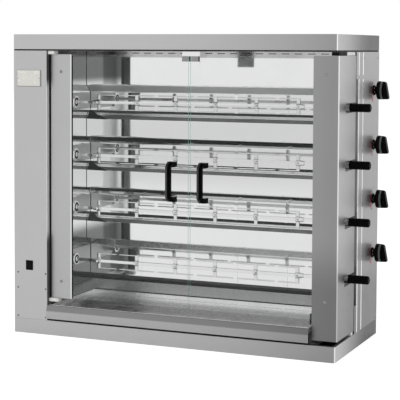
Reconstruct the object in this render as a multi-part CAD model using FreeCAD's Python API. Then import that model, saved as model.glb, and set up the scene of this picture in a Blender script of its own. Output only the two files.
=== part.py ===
import FreeCAD, Part
import math
import os

# Gas chicken rotisserie for the counter, with four horizontal spits one above another.
# A motor housing on the left turns the spits, burners lie behind the folded back wall,
# and the gas valves sit in the right rear corner. Two glass doors close the front, and
# a drip tray slides out below them. Everything is in millimetres. The origin is at the
# centre of the underside, x runs to the right, y to the back and z up.

# Body
overall_width = 1140.0
overall_depth = 480.0
overall_height = 1015.0
rim_height = 50.0
rim_corner_radius = 3.0
rim_lip = 15.0
panel_sheet = 1.2
frame_sheet = 1.5
ceiling_board = 5.0
ceiling_inset = 4.0
housing_width = 127.0

# Clearances
running_clearance = 0.05
seat_gap = 0.3
sliding_clearance = 0.2

# Spits
spit_count = 4
lowest_spit_height = 238.0
highest_spit_drop = 231.0
spit_from_front = 155.0
rod_side = 10.0
rod_end_play = 4.0
collar_radius = 13.0
collar_reach = 32.0
grip_radius = 13.5
grip_start_inset = 4.0
grip_reach = 63.0
grip_cap_radius = 6.0

# Forks on the spits
fork_count = 6
first_fork_gap = 115.5
last_fork_gap = 102.0
fork_bar_width = 12.0
fork_bar_height = 54.0
fork_bar_sheet = 5.0
prong_radius = 2.0
prong_offset = 25.0
prong_length = 59.0
prong_point = 10.0
fork_hub_length = 22.0
fork_hub_radius = 10.0
thumb_screw_radius = 3.0
thumb_screw_length = 18.0

# Spit drive in the motor housing
hub_radius = 17.0
hub_length = 25.0
hub_wall_gap = 1.0
shaft_radius = 10.0
bearing_side = 56.0
bearing_depth = 12.0
shaft_wall_play = 2.0
sprocket_teeth = 20
chain_pitch = 12.7
sprocket_sheet = 5.0
sprocket_from_wall = 23.0
sprocket_boss_radius = 18.0
chain_plate_sheet = 1.5
chain_plate_gap = 0.5
chain_plate_height = 10.0
chain_roller_radius = 3.8
shaft_tail = 5.0
gearbox_depth = 56.0
gearbox_half_width = 44.0
gearbox_half_height = 46.0
gearbox_gap = 5.0
motor_radius = 30.0
motor_length = 130.0
motor_box = 40.0
bracket_sheet = 4.0
bracket_width = 60.0

# Folded back wall and its burners
wall_flat_from_front = 283.0
wall_recess_depth = 29.0
recess_above_spit = 31.0
recess_below_spit = 36.0
slant_height = 25.0
nose_drop = 41.0
nose_setback = 9.0
nose_height = 22.0
flue_setback = 53.0
flue_strip_height = 21.0
flue_slot_length = 27.0
flue_slot_height = 4.0
flue_slot_drop = 6.0
flue_slot_pitch = 46.0
last_recess_bottom = 165.0
strap_width = 11.0
strap_sheet = 1.2
strap_pitch = 181.0
strap_count = 4
first_strap_gap = 194.0
burner_radius = 11.0
burner_sheet = 1.5
burner_setback = 26.0
burner_drop = 62.0
low_burner_setback = 62.0
low_burner_height = 157.0
port_length = 8.0
port_width = 2.0
port_pitch = 24.0

# Right side: post, spit rest and covers
post_width = 74.0
post_depth = 58.0
post_from_front = 230.0
side_sheet_from_front = 208.0
window_low = 141.0
window_below_top = 143.0
window_lip = 10.0
rest_sheet = 3.0
rest_front_margin = 4.0
rest_overlap = 32.0
rest_end_margin = 40.0
rest_hook = 5.0
cover_lip = 20.0

# Doors
door_from_front = 20.0
door_strip_sheet = 1.5
door_strip_width = 78.0
right_strip_width = 83.0
door_top = 948.0
door_low = 125.0
right_strip_low = 62.0
glass_thickness = 6.0
glass_inset = 6.0
doors_gap = 7.0
meeting_offset = 5.0
hinge_edge_gap = 4.5
left_pivot_from_strip = 13.0
pivot_from_front = 25.0
pin_radius = 4.0
pin_length = 10.0
bush_width = 28.0
bush_depth = 18.0
strip_flange = 10.0
pin_tab = 26.0
wing_depth = 181.0
wing_pivot_from_side = 15.0
wing_pivot_from_front = 186.5
wing_notch_height = 31.0
wing_notch_clearance = 3.0
strip_screw_inset = 58.0
screw_head_radius = 4.5
screw_head_height = 2.5
screw_shank_radius = 2.5
screw_nut_radius = 5.0
screw_nut_height = 3.0
glass_hole_play = 1.0

# Handles and catch
handle_from_meeting = 55.0
handle_length = 130.0
handle_height = 539.0
handle_width = 22.0
handle_standoff = 42.0
handle_bar = 13.0
handle_foot = 17.0
handle_chamfer = 14.0
handle_round = 2.5
catch_width = 62.0
catch_drop = 57.0
catch_flange = 24.0
strike_width = 25.0
strike_height = 17.0
strike_sheet = 1.2
strike_top_below_ceiling = 16.0
magnet_depth = 6.0

# Drip tray
tray_low = 57.0
tray_top = 102.0
fascia_bend_height = 82.0
fascia_proud = 7.5
fascia_lean = 6.0
tray_floor_height = 86.0
tray_rim_height = 101.0
tray_side_gap = 4.5
tray_right_gap = 14.0
tray_back_from_front = 334.0
tray_lip_depth = 10.0
runner_ledge = 14.0
deck_ledge = 26.0
deck_front_ledge = 12.0
skirt_sheet = 1.0
skirt_foot_height = 104.0
skirt_top_height = 141.0
skirt_splay = 8.0
skirt_from_front = 40.0
skirt_back_from_front = 340.0
skirt_flange = 30.0

# Gas valves and knobs
knob_above_spit = 48.0
knob_from_back = 58.0
knob_radius = 29.5
knob_boss_radius = 20.0
knob_gap = 4.0
knob_boss_length = 13.0
knob_skirt_length = 12.0
knob_face_radius = 25.0
knob_bar_width = 14.0
knob_bar_low_reach = 27.0
knob_bar_high_reach = 14.0
knob_push = 3.0
stem_radius = 4.0
stem_flat = 2.5
stem_in_knob = 12.0
stem_hole_play = 2.0
valve_side = 30.0
valve_height = 36.0
valve_depth = 24.0
valve_gap = 10.0
valve_nose_radius = 8.0
manifold_side = 22.0
manifold_wall = 2.0
pipe_radius = 4.0
elbow_side = 12.0
injector_radius = 8.0
injector_length = 16.0
injector_entry = 6.0
inlet_radius = 10.48
inlet_length = 22.0
inlet_pipe_radius = 9.0
inlet_height = 210.0
inlet_nut_radius = 16.0
inlet_nut_depth = 8.0

# Switch, cable gland, badge plate and screws
switch_from_left = 59.5
switch_height = 233.0
switch_bezel_width = 27.0
switch_bezel_height = 33.0
switch_bezel_depth = 2.0
switch_body_width = 22.0
switch_body_height = 28.0
switch_body_depth = 26.0
rocker_width = 17.0
rocker_height = 24.0
rocker_gap = 0.4
rocker_tilt = 8.0
rocker_pivot_radius = 1.5
rocker_pivot_depth = 3.0
rocker_pivot_reach = 2.0
gland_from_left = 64.0
gland_height = 140.0
gland_bore_radius = 5.0
gland_thread_radius = 10.0
gland_flange_radius = 15.0
gland_reach = 28.0
gland_inside = 16.0
badge_from_left = 55.0
badge_height = 866.0
badge_width = 82.0
badge_tall = 54.0
badge_sheet = 1.5
cover_screw_inset = 15.0
cover_screw_edge = 5.0
cover_screw_heights = (58.0, 155.0, 207.0)
cover_screw_top = 940.0
cover_screw_radius = 3.2
cover_screw_head = 1.2
cover_screw_shank = 1.8
vent_count = 10
vent_length = 60.0
vent_height = 6.0
vent_pitch = 90.0
vent_below_ceiling = 40.0

# Places worked out from the sizes above
left = -overall_width / 2
right = overall_width / 2
front = -overall_depth / 2
back = overall_depth / 2
deck_top = rim_height
cap_low = overall_height - rim_height
ceiling_low = cap_low - ceiling_board
wall_outer = left + housing_width
wall_inner = wall_outer + frame_sheet
post_inner = right - post_width
post_front = front + post_from_front
post_back = post_front + post_depth
cover_inner_back = back - panel_sheet

spit_y = front + spit_from_front
highest_spit = overall_height - highest_spit_drop
spit_pitch = (highest_spit - lowest_spit_height) / (spit_count - 1)
spit_heights = [highest_spit - level * spit_pitch for level in range(spit_count)]
knob_y = back - knob_from_back
knob_heights = [height + knob_above_spit for height in spit_heights]

flat_y = front + wall_flat_from_front
recess_y = flat_y + wall_recess_depth
burner_places = [(flat_y + burner_setback, height - burner_drop) for height in spit_heights[:-1]]
burner_places.append((flat_y + low_burner_setback, low_burner_height))

glass_front = front + door_from_front + door_strip_sheet
glass_back = glass_front + glass_thickness
door_front = front + door_from_front
meeting_x = (wall_outer + right) / 2 + meeting_offset
left_glass_edge = meeting_x - doors_gap / 2
right_glass_edge = meeting_x + doors_gap / 2
left_strip_left = wall_inner + hinge_edge_gap
left_pivot_x = left_strip_left + left_pivot_from_strip
left_pivot_y = front + pivot_from_front
right_pivot_x = right - wing_pivot_from_side
right_pivot_y = front + wing_pivot_from_front

tray_left = wall_inner + tray_side_gap
tray_right = post_inner - tray_right_gap
sprocket_radius = chain_pitch / 2 / math.sin(math.pi / sprocket_teeth)
sprocket_left = wall_outer - sprocket_from_wall - sprocket_sheet
manifold_right = right - panel_sheet - valve_gap - valve_depth
manifold_left = manifold_right - manifold_side
manifold_low = inlet_height - inlet_radius - manifold_side / 2


def vector(x, y, z):
    return FreeCAD.Vector(x, y, z)


def box(x0, x1, y0, y1, z0, z1):
    return Part.makeBox(x1 - x0, y1 - y0, z1 - z0, vector(x0, y0, z0))


def round_x(radius, x0, x1, y, z):
    return Part.makeCylinder(radius, x1 - x0, vector(x0, y, z), vector(1, 0, 0))


def round_y(radius, y0, y1, x, z):
    return Part.makeCylinder(radius, y1 - y0, vector(x, y0, z), vector(0, 1, 0))


def round_z(radius, z0, z1, x, y):
    return Part.makeCylinder(radius, z1 - z0, vector(x, y, z0), vector(0, 0, 1))


def cone_x(radius0, radius1, x0, x1, y, z):
    return Part.makeCone(radius0, radius1, x1 - x0, vector(x0, y, z), vector(1, 0, 0))


def hexagon_y(radius, y0, y1, x, z):
    corners = [math.radians(60 * corner) for corner in range(6)]
    outline = [(x + radius * math.cos(turn), z + radius * math.sin(turn)) for turn in corners]
    return prism_y(outline, y0, y1)


def prism(points, push):
    return Part.Face(Part.makePolygon(points + points[:1])).extrude(push)


def prism_x(outline, x0, x1):
    return prism([vector(x0, y, z) for y, z in outline], vector(x1 - x0, 0, 0))


def prism_y(outline, y0, y1):
    return prism([vector(x, y0, z) for x, z in outline], vector(0, y1 - y0, 0))


def prism_z(outline, z0, z1):
    return prism([vector(x, y, z0) for x, y in outline], vector(0, 0, z1 - z0))


def folded(path, thickness):
    # Outline of a folded sheet: the path is one face and the other lies on its left.
    directions = []
    for start, end in zip(path, path[1:]):
        length = math.dist(start, end)
        directions.append(((end[0] - start[0]) / length, (end[1] - start[1]) / length))
    offset = []
    for corner, point in enumerate(path):
        before = directions[max(corner - 1, 0)]
        after = directions[min(corner, len(directions) - 1)]
        normal = (-before[1] - after[1], before[0] + after[0])
        scale = thickness / (1 + before[0] * after[0] + before[1] * after[1])
        offset.append((point[0] + normal[0] * scale, point[1] + normal[1] * scale))
    return path + offset[::-1]


def join(solids):
    return solids[0].fuse(solids[1:]).removeSplitter()


def export(name, solids):
    shape = solids[0] if len(solids) == 1 else Part.makeCompound(solids)
    shape.exportStep("parts/" + name + ".step")


def rounded_upright(solid, radius):
    # Rounds the four outer upright corners of a box-like shell.
    edges = []
    for edge in solid.Edges:
        middle = edge.CenterOfMass
        on_corner = abs(abs(middle.x) - right) < 0.01 and abs(abs(middle.y) - back) < 0.01
        if on_corner and edge.BoundBox.ZLength > 1.0:
            edges.append(edge)
    return solid.makeFillet(radius, edges)


def base_pan():
    # Rim band that the machine stands on, with the bottom sheet let in at its foot and the
    # deck sheet in its mouth. The deck is open under the drip tray and in the right front
    # corner, below the door.
    inside = [left + frame_sheet, right - frame_sheet, front + frame_sheet, back - frame_sheet]
    band = rounded_upright(box(left, right, front, back, 0, rim_height), rim_corner_radius)
    band = band.cut(box(*inside, -1, deck_top + 1))
    bottom = box(*inside, 0, frame_sheet)
    deck = box(*inside, deck_top - frame_sheet, deck_top)
    tray_bay = box(tray_left + deck_ledge, tray_right - deck_ledge, front + deck_front_ledge,
                   front + tray_back_from_front, frame_sheet, deck_top + 1)
    corner_bay = box(tray_right + deck_ledge, right - deck_front_ledge, front + deck_front_ledge,
                     right_pivot_y - deck_ledge, frame_sheet, deck_top + 1)
    return [band, bottom, deck.cut([tray_bay, corner_bay])]


def top_cap():
    shell = rounded_upright(box(left, right, front, back, cap_low, overall_height), rim_corner_radius)
    hollow = box(left + frame_sheet, right - frame_sheet, front + frame_sheet, back - frame_sheet,
                 cap_low + frame_sheet, overall_height - frame_sheet)
    mouth = box(left + rim_lip, right - rim_lip, front + rim_lip, back - rim_lip,
                cap_low - 1, cap_low + 2 * frame_sheet)
    return [shell.cut([hollow, mouth])]


def ceiling_plate():
    # Board under the cap, set back so that a dark joint shows all round.
    return [box(left + ceiling_inset, right - ceiling_inset, front + ceiling_inset, back - ceiling_inset,
                ceiling_low, cap_low)]


def housing_screw_places():
    columns = (left + cover_screw_inset, wall_outer - cover_screw_edge)
    return [(x, height) for x in columns for height in cover_screw_heights + (cover_screw_top,)]


def side_screw_places():
    columns = (post_back + cover_screw_edge, cover_inner_back - cover_screw_inset)
    heights = (cover_screw_heights[0], cover_screw_top)
    return [(y, height) for y in columns for height in heights]


def left_cover():
    path = [(left, cover_inner_back), (left, front), (wall_outer, front)]
    cover = prism_z(folded(path, panel_sheet), deck_top, ceiling_low)
    switch_x = left + switch_from_left
    cuts = [box(switch_x - switch_body_width / 2, switch_x + switch_body_width / 2, front - 1,
                front + panel_sheet + 1, switch_height - switch_body_height / 2,
                switch_height + switch_body_height / 2)]
    for x, height in housing_screw_places():
        cuts.append(round_y(cover_screw_shank, front - 1, front + panel_sheet + 1, x, height))
    return [cover.cut(cuts)]


def left_wall():
    wall = box(wall_outer, wall_inner, front, cover_inner_back, deck_top, ceiling_low)
    holes = []
    for height in spit_heights:
        holes.append(round_x(shaft_radius + shaft_wall_play, wall_outer - 1, wall_inner + 1, spit_y, height))
    return [wall.cut(holes)]


def back_cover():
    cover = box(left, right, cover_inner_back, back, deck_top, ceiling_low)
    cuts = []
    for number in range(vent_count):
        middle = (number - (vent_count - 1) / 2) * vent_pitch
        cuts.append(box(middle - vent_length / 2, middle + vent_length / 2, cover_inner_back - 1, back + 1,
                        ceiling_low - vent_below_ceiling - vent_height, ceiling_low - vent_below_ceiling))
    inlet_x = (manifold_left + manifold_right) / 2
    cuts.append(round_y(inlet_pipe_radius + seat_gap, cover_inner_back - 1, back + 1, inlet_x, inlet_height))
    cuts.append(round_y(gland_thread_radius + seat_gap, cover_inner_back - 1, back + 1,
                        left + gland_from_left, gland_height))
    return [cover.cut(cuts)]


def right_frame():
    # Hollow post behind the spit slot, with side sheets above and below the slot.
    post = box(post_inner, right, post_front, post_back, deck_top, ceiling_low)
    core = box(post_inner + frame_sheet, right - frame_sheet, post_front + frame_sheet,
               post_back - frame_sheet, deck_top - 1, ceiling_low + 1)
    sheet_front = front + side_sheet_from_front
    window_top = overall_height - window_below_top
    pieces = [post.cut(core)]
    for low, high, lip in ((deck_top, window_low, window_low - frame_sheet),
                           (window_top, ceiling_low, window_top)):
        pieces.append(box(right - frame_sheet, right, sheet_front, post_front, low, high))
        pieces.append(box(right - window_lip, right, sheet_front, post_front, lip, lip + frame_sheet))
    return [join(pieces)]


def right_cover():
    path = [(right - cover_lip, post_back), (right, post_back), (right, cover_inner_back)]
    cover = prism_z(folded(path, panel_sheet), deck_top, ceiling_low)
    cuts = []
    for height in knob_heights:
        cuts.append(round_x(stem_radius + stem_hole_play, right - panel_sheet - 1, right + 1, knob_y, height))
    for y, height in side_screw_places():
        cuts.append(round_x(cover_screw_shank, right - panel_sheet - 1, right + 1, y, height))
    return [cover.cut(cuts)]


def gas_partition():
    plate = box(post_inner, post_inner + frame_sheet, post_back, cover_inner_back, deck_top, ceiling_low)
    holes = []
    for y, height in burner_places:
        holes.append(round_x(burner_radius + seat_gap, post_inner - 1, post_inner + frame_sheet + 1,
                             y, height))
    return [plate.cut(holes)]


def reflector_path(level):
    # From the top edge down to the lower edge of the radiant recess behind one spit.
    height = spit_heights[level]
    if level == 0:
        ledge = ceiling_low - flue_strip_height
        path = [(flat_y + flue_setback, ceiling_low), (flat_y + flue_setback, ledge), (flat_y, ledge)]
    else:
        nose_top = spit_heights[level - 1] - nose_drop
        path = [(recess_y - nose_setback, nose_top), (flat_y, nose_top - nose_height)]
    last = level == spit_count - 1
    path.append((flat_y, height + recess_above_spit + slant_height))
    path.append((recess_y, height + recess_above_spit))
    path.append((recess_y, last_recess_bottom if last else height - recess_below_spit))
    return path


def back_reflectors():
    sheets = []
    for level in range(spit_count):
        outline = folded(reflector_path(level), panel_sheet)
        sheets.append(prism_x(outline, wall_inner, post_inner))
    slots = []
    slot_height = ceiling_low - flue_slot_drop
    count = int((post_inner - wall_inner - flue_slot_pitch) / flue_slot_pitch)
    first = (wall_inner + post_inner - (count - 1) * flue_slot_pitch) / 2
    for number in range(count):
        middle = first + number * flue_slot_pitch
        slots.append(box(middle - flue_slot_length / 2, middle + flue_slot_length / 2,
                         flat_y + flue_setback - 1, flat_y + flue_setback + panel_sheet + 1,
                         slot_height - flue_slot_height / 2, slot_height + flue_slot_height / 2))
    sheets[0] = sheets[0].cut(slots)
    return sheets


def reflector_straps():
    straps = []
    for level, height in enumerate(spit_heights):
        last = level == spit_count - 1
        low = last_recess_bottom if last else height - recess_below_spit
        top = height + recess_above_spit - strap_sheet
        for number in range(strap_count):
            strap_left = wall_inner + first_strap_gap + number * strap_pitch
            if strap_left + strap_width < post_inner:
                straps.append(box(strap_left, strap_left + strap_width, recess_y - strap_sheet, recess_y,
                                  low, top))
    return straps


def drip_skirts():
    # Sloping skirts that lead the fat from the walls into the tray.
    y0 = front + skirt_from_front
    y1 = front + skirt_back_from_front
    left_path = [(wall_inner + skirt_splay, skirt_foot_height), (wall_inner, skirt_top_height)]
    right_path = [(post_inner, skirt_top_height), (tray_right - skirt_splay, skirt_top_height),
                  (tray_right - skirt_splay, skirt_foot_height)]
    back_path = [(y1, skirt_foot_height), (y1, skirt_top_height - skirt_sheet),
                 (y1 + skirt_flange, skirt_top_height - skirt_sheet)]
    return [prism_y(folded(left_path, -skirt_sheet), y0, y1),
            prism_y(folded(right_path, skirt_sheet), y0, y1),
            prism_x(folded(back_path, -skirt_sheet), wall_inner, post_inner)]


def tray_runners():
    low = tray_floor_height - seat_gap
    y0 = front + door_from_front
    y1 = front + tray_back_from_front
    left_path = [(wall_inner, deck_top), (wall_inner, low), (tray_left + runner_ledge, low)]
    foot = deck_top + frame_sheet
    right_path = [(tray_right + runner_ledge, foot), (tray_right + seat_gap, foot),
                  (tray_right + seat_gap, low), (tray_right - runner_ledge, low)]
    left_runner = prism_y(folded(left_path, -frame_sheet), y0, y1)
    right_runner = prism_y(folded(right_path, frame_sheet), y0, y1)
    return [left_runner, right_runner]


def drip_tray():
    fascia_y = front - fascia_proud
    fascia_path = [(fascia_y, tray_low), (fascia_y, fascia_bend_height), (fascia_y + fascia_lean, tray_top)]
    fascia = prism_x(folded(fascia_path, -panel_sheet), wall_outer + frame_sheet / 2,
                     tray_right + 2 * frame_sheet)
    lip_y = fascia_y + fascia_lean
    lip_path = [(lip_y, tray_top), (front + tray_lip_depth, tray_top),
                (front + tray_lip_depth, tray_floor_height)]
    front_fold = prism_x(folded(lip_path, -panel_sheet), tray_left, tray_right)
    y0 = front + tray_lip_depth - panel_sheet
    y1 = front + tray_back_from_front
    floor = box(tray_left, tray_right, y0, y1, tray_floor_height, tray_floor_height + panel_sheet)
    sides = [box(tray_left, tray_left + panel_sheet, y0, y1, tray_floor_height, tray_rim_height),
             box(tray_right - panel_sheet, tray_right, y0, y1, tray_floor_height, tray_rim_height),
             box(tray_left, tray_right, y1 - panel_sheet, y1, tray_floor_height, tray_rim_height)]
    return [join([fascia, front_fold, floor] + sides)]


def spit_rest():
    # Upright rail whose hooked notches carry the right end of each spit.
    y0 = spit_y - collar_radius - rest_front_margin
    rail = box(post_inner - rest_sheet, post_inner, y0, post_front + rest_overlap,
               spit_heights[-1] - rest_end_margin, spit_heights[0] + rest_end_margin)
    radius = collar_radius + sliding_clearance
    cuts = []
    for height in spit_heights:
        cuts.append(round_x(radius, post_inner - rest_sheet - 1, post_inner + 1, spit_y, height))
        cuts.append(round_x(radius, post_inner - rest_sheet - 1, post_inner + 1, spit_y, height + rest_hook))
        cuts.append(box(post_inner - rest_sheet - 1, post_inner + 1, y0 - 1, spit_y,
                        height + rest_hook - radius, height + rest_hook + radius))
        cuts.append(box(post_inner - rest_sheet - 1, post_inner + 1, spit_y - radius, spit_y + radius,
                        height, height + rest_hook))
    return [rail.cut(cuts)]


def door_bushes():
    bushes = []
    left_top = door_top + seat_gap
    right_top = door_top + seat_gap
    bore = pin_radius + running_clearance
    blocks = [(wall_inner, left_pivot_x + bush_width / 2, left_pivot_x, left_pivot_y, left_top, ceiling_low),
              (wall_inner, left_pivot_x + bush_width / 2, left_pivot_x, left_pivot_y,
               door_low - seat_gap - (ceiling_low - left_top), door_low - seat_gap),
              (right_pivot_x - bush_width / 2, right_pivot_x + bush_width / 2, right_pivot_x, right_pivot_y,
               right_top, ceiling_low),
              (right_pivot_x - bush_width / 2, right_pivot_x + bush_width / 2, right_pivot_x, right_pivot_y,
               deck_top, right_strip_low - seat_gap)]
    for x0, x1, pivot_x, pivot_y, low, top in blocks:
        block = box(x0, x1, pivot_y - bush_depth / 2, pivot_y + bush_depth / 2, low, top)
        bushes.append(block.cut(round_z(bore, low - 1, top + 1, pivot_x, pivot_y)))
    return bushes


def pins(pivot_x, pivot_y, low, top):
    return [round_z(pin_radius, low - pin_length, low, pivot_x, pivot_y),
            round_z(pin_radius, top, top + pin_length, pivot_x, pivot_y)]


def left_strip():
    # Steel strip of the left door with folded edges and the two hinge pins.
    x1 = left_strip_left + door_strip_width
    path = [(left_strip_left, door_front + strip_flange), (left_strip_left, door_front), (x1, door_front)]
    strip = prism_z(folded(path, door_strip_sheet), door_low, door_top)
    tabs = []
    for low in (door_low, door_top - door_strip_sheet):
        tabs.append(box(left_strip_left, left_strip_left + pin_tab, door_front, door_front + strip_flange,
                        low, low + door_strip_sheet))
    strip = join([strip] + tabs + pins(left_pivot_x, left_pivot_y, door_low, door_top))
    return [strip.cut(screw_holes(left_strip_screws(), screw_shank_radius))]


def right_strip():
    # Steel corner of the right door: a strip in front and a wing along the side, whose
    # notches pass the spit grips and clear them as the door swings.
    x0 = right - right_strip_width
    rear = front + door_from_front + wing_depth
    path = [(x0, door_front), (right, door_front), (right, rear)]
    corner = prism_z(folded(path, door_strip_sheet), right_strip_low, door_top)
    tabs = []
    for low in (right_strip_low, door_top - door_strip_sheet):
        tabs.append(box(right_pivot_x - pin_radius - door_strip_sheet, right,
                        right_pivot_y - strip_flange, rear, low, low + door_strip_sheet))
    corner = join([corner] + tabs + pins(right_pivot_x, right_pivot_y, right_strip_low, door_top))
    tip_x = right + grip_reach - right_pivot_x
    tip_y = right_pivot_y - spit_y + grip_radius
    notch_front = right_pivot_y - math.hypot(tip_x, tip_y) - wing_notch_clearance
    half = wing_notch_height / 2
    cuts = screw_holes(right_strip_screws(), screw_shank_radius)
    for height in spit_heights:
        cuts.append(box(right - door_strip_sheet - 1, right + 1, notch_front, rear + 1,
                        height - half, height + half))
    return [corner.cut(cuts)]


def left_strip_screws():
    x = left_strip_left + door_strip_width / 2
    return [(x, door_low + strip_screw_inset), (x, door_top - strip_screw_inset)]


def right_strip_screws():
    x = right - right_strip_width / 2
    return [(x, door_low + strip_screw_inset), (x, door_top - strip_screw_inset)]


def handle_x(side):
    return meeting_x + side * handle_from_meeting


def handle_screws(side):
    offset = (handle_length - handle_foot) / 2
    return [(handle_x(side), handle_height - offset), (handle_x(side), handle_height + offset)]


def screw_holes(places, radius):
    return [round_y(radius, door_front - 1, glass_back + 1, x, height) for x, height in places]


def glass(x0, x1, strip_places, side):
    margin = 2 * door_strip_sheet
    pane = box(x0, x1, glass_front, glass_back, door_low + margin, door_top - margin)
    places = strip_places + handle_screws(side)
    return [pane.cut(screw_holes(places, screw_shank_radius + glass_hole_play))]


def door_screws(strip_places, side):
    screws = []
    end = glass_back + screw_nut_height
    for x, height in strip_places:
        screws.append(join([round_y(screw_head_radius, door_front - screw_head_height, door_front, x, height),
                            round_y(screw_shank_radius, door_front, end, x, height),
                            hexagon_y(screw_nut_radius, glass_back, end, x, height)]))
    for x, height in handle_screws(side):
        screws.append(join([round_y(screw_shank_radius, glass_front, end, x, height),
                            round_y(screw_head_radius, glass_back, end, x, height)]))
    return screws


def handle(side):
    x = handle_x(side)
    low = handle_height - handle_length / 2
    top = handle_height + handle_length / 2
    y1 = glass_front
    y0 = glass_front - handle_standoff
    chamfer = handle_chamfer
    outer = [(y1, low), (y0 + chamfer, low), (y0, low + chamfer), (y0, top - chamfer),
             (y0 + chamfer, top), (y1, top)]
    inner = [(y1 + 1, low + handle_foot), (y0 + chamfer, low + handle_foot),
             (y0 + handle_bar, low + handle_foot + 1), (y0 + handle_bar, top - handle_foot - 1),
             (y0 + chamfer, top - handle_foot), (y1 + 1, top - handle_foot)]
    bow = prism_x(outer, x - handle_width / 2, x + handle_width / 2)
    bow = bow.cut(prism_x(inner, x - handle_width, x + handle_width))
    rounded = [edge for edge in bow.Edges if abs(edge.CenterOfMass.y - y0) < 0.01]
    return [bow.makeFillet(handle_round, rounded)]


def strike(x0):
    top = ceiling_low - strike_top_below_ceiling
    return [box(x0, x0 + strike_width, glass_back, glass_back + strike_sheet, top - strike_height, top)]


def door_catch():
    # Bracket under the ceiling with one magnet for each door.
    magnet_front = glass_back + strike_sheet + seat_gap
    plate_front = magnet_front + magnet_depth
    x0 = meeting_x - catch_width / 2
    x1 = meeting_x + catch_width / 2
    path = [(plate_front, ceiling_low - catch_drop), (plate_front, ceiling_low),
            (plate_front + catch_flange, ceiling_low)]
    bracket = prism_x(folded(path, -frame_sheet), x0, x1)
    top = ceiling_low - strike_top_below_ceiling
    magnets = []
    for x in (left_glass_edge - strike_width, right_glass_edge):
        magnets.append(box(x, x + strike_width, magnet_front, plate_front, top - strike_height, top))
    return [bracket] + magnets


def spit_rod(height):
    # Square rod with a round collar in the rest and a moulded grip outside.
    half = rod_side / 2
    tip = wall_inner + hub_wall_gap + rod_end_play
    collar = round_x(collar_radius, post_inner - collar_reach, right - grip_start_inset, spit_y, height)
    rod = box(tip, right + grip_reach - 2 * grip_cap_radius, spit_y - half, spit_y + half,
              height - half, height + half)
    grip = round_x(grip_radius, right - grip_start_inset, right + grip_reach, spit_y, height)
    end = right + grip_reach
    rims = [edge for edge in grip.Edges if edge.Length > 1 and abs(edge.CenterOfMass.x - end) < 0.01]
    grip = grip.makeFillet(handle_round, rims)
    grip = grip.cut(rod)
    return [join([rod, collar]), grip]


def fork_places():
    first = wall_inner + first_fork_gap
    last = post_inner - last_fork_gap
    return [first + number * (last - first) / (fork_count - 1) for number in range(fork_count)]


def prong(x0, direction, y, z):
    shaft = round_x(prong_radius, min(x0, x0 + direction * prong_length),
                    max(x0, x0 + direction * prong_length), y, z)
    start = vector(x0 + direction * prong_length, y, z)
    point = Part.makeCone(prong_radius, prong_radius / 4, prong_point, start, vector(direction, 0, 0))
    return join([shaft, point])


def spit_forks(height):
    # Flat bars with pointed prongs, each clamped on the rod by a thumb screw. The end
    # forks point inwards only.
    forks = []
    places = fork_places()
    half = rod_side / 2 + sliding_clearance
    for number, x in enumerate(places):
        bar = box(x - fork_bar_width / 2, x + fork_bar_width / 2, spit_y - fork_bar_sheet / 2,
                  spit_y + fork_bar_sheet / 2, height - fork_bar_height / 2, height + fork_bar_height / 2)
        hub = round_x(fork_hub_radius, x - fork_bar_width / 2, x + fork_bar_width / 2, spit_y, height)
        screw = round_y(thumb_screw_radius, spit_y - thumb_screw_length, spit_y - half, x, height)
        pieces = [bar, hub, screw]
        if number == 0:
            pieces.append(cone_x(thumb_screw_radius + half, fork_hub_radius, x - fork_hub_length,
                                 x - fork_bar_width / 2, spit_y, height))
        if number == fork_count - 1:
            pieces.append(cone_x(fork_hub_radius, thumb_screw_radius + half, x + fork_bar_width / 2,
                                 x + fork_hub_length, spit_y, height))
        for direction in (-1, 1):
            outside = (number == 0 and direction < 0) or (number == fork_count - 1 and direction > 0)
            if not outside:
                for offset in (-prong_offset, prong_offset):
                    pieces.append(prong(x, direction, spit_y, height + offset))
        hole = box(x - 2 * fork_hub_length, x + 2 * fork_hub_length, spit_y - half, spit_y + half,
                   height - half, height + half)
        forks.append(join(pieces).cut(hole))
    return forks


def sprocket(height):
    # Toothed disc with a boss, pressed on its shaft.
    root = sprocket_radius - chain_roller_radius
    tip = sprocket_radius + chain_roller_radius * 0.6
    outline = []
    step = 2 * math.pi / sprocket_teeth
    for tooth in range(sprocket_teeth):
        for share, radius in ((-0.32, root), (-0.12, tip), (0.12, tip), (0.32, root)):
            turn = (tooth + share) * step
            outline.append((spit_y + radius * math.cos(turn), height + radius * math.sin(turn)))
    disc = prism_x(outline, sprocket_left, sprocket_left + sprocket_sheet)
    boss = round_x(sprocket_boss_radius, sprocket_left, wall_outer - bearing_depth - seat_gap, spit_y, height)
    return join([disc, boss]).cut(round_x(shaft_radius, sprocket_left - 1, wall_outer, spit_y, height))


def drive_shaft(level):
    height = spit_heights[level]
    last = level == spit_count - 1
    tail = sprocket_left - shaft_tail
    if last:
        tail = tail - gearbox_gap - gearbox_depth
    hub_left = wall_inner + hub_wall_gap
    shaft = round_x(shaft_radius, tail, hub_left, spit_y, height)
    hub = round_x(hub_radius, hub_left, hub_left + hub_length, spit_y, height)
    half = rod_side / 2 + sliding_clearance
    socket = box(hub_left + rod_end_play - sliding_clearance, hub_left + hub_length + 1, spit_y - half,
                 spit_y + half, height - half, height + half)
    return [join([shaft, hub]).cut(socket), sprocket(height)]


def drive_bearings():
    bearings = []
    half = bearing_side / 2
    for height in spit_heights:
        block = box(wall_outer - bearing_depth, wall_outer, spit_y - half, spit_y + half,
                    height - half, height + half)
        bore = round_x(shaft_radius + running_clearance, wall_outer - bearing_depth - 1, wall_outer + 1,
                       spit_y, height)
        bearings.append(block.cut(bore))
    return bearings


def chain_loop(radius, x0, x1):
    # Solid between the two straight runs and round the end sprockets, out to one radius.
    top = spit_heights[0]
    low = spit_heights[-1]
    return join([box(x0, x1, spit_y - radius, spit_y + radius, low, top),
                 round_x(radius, x0, x1, spit_y, top), round_x(radius, x0, x1, spit_y, low)])


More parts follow.
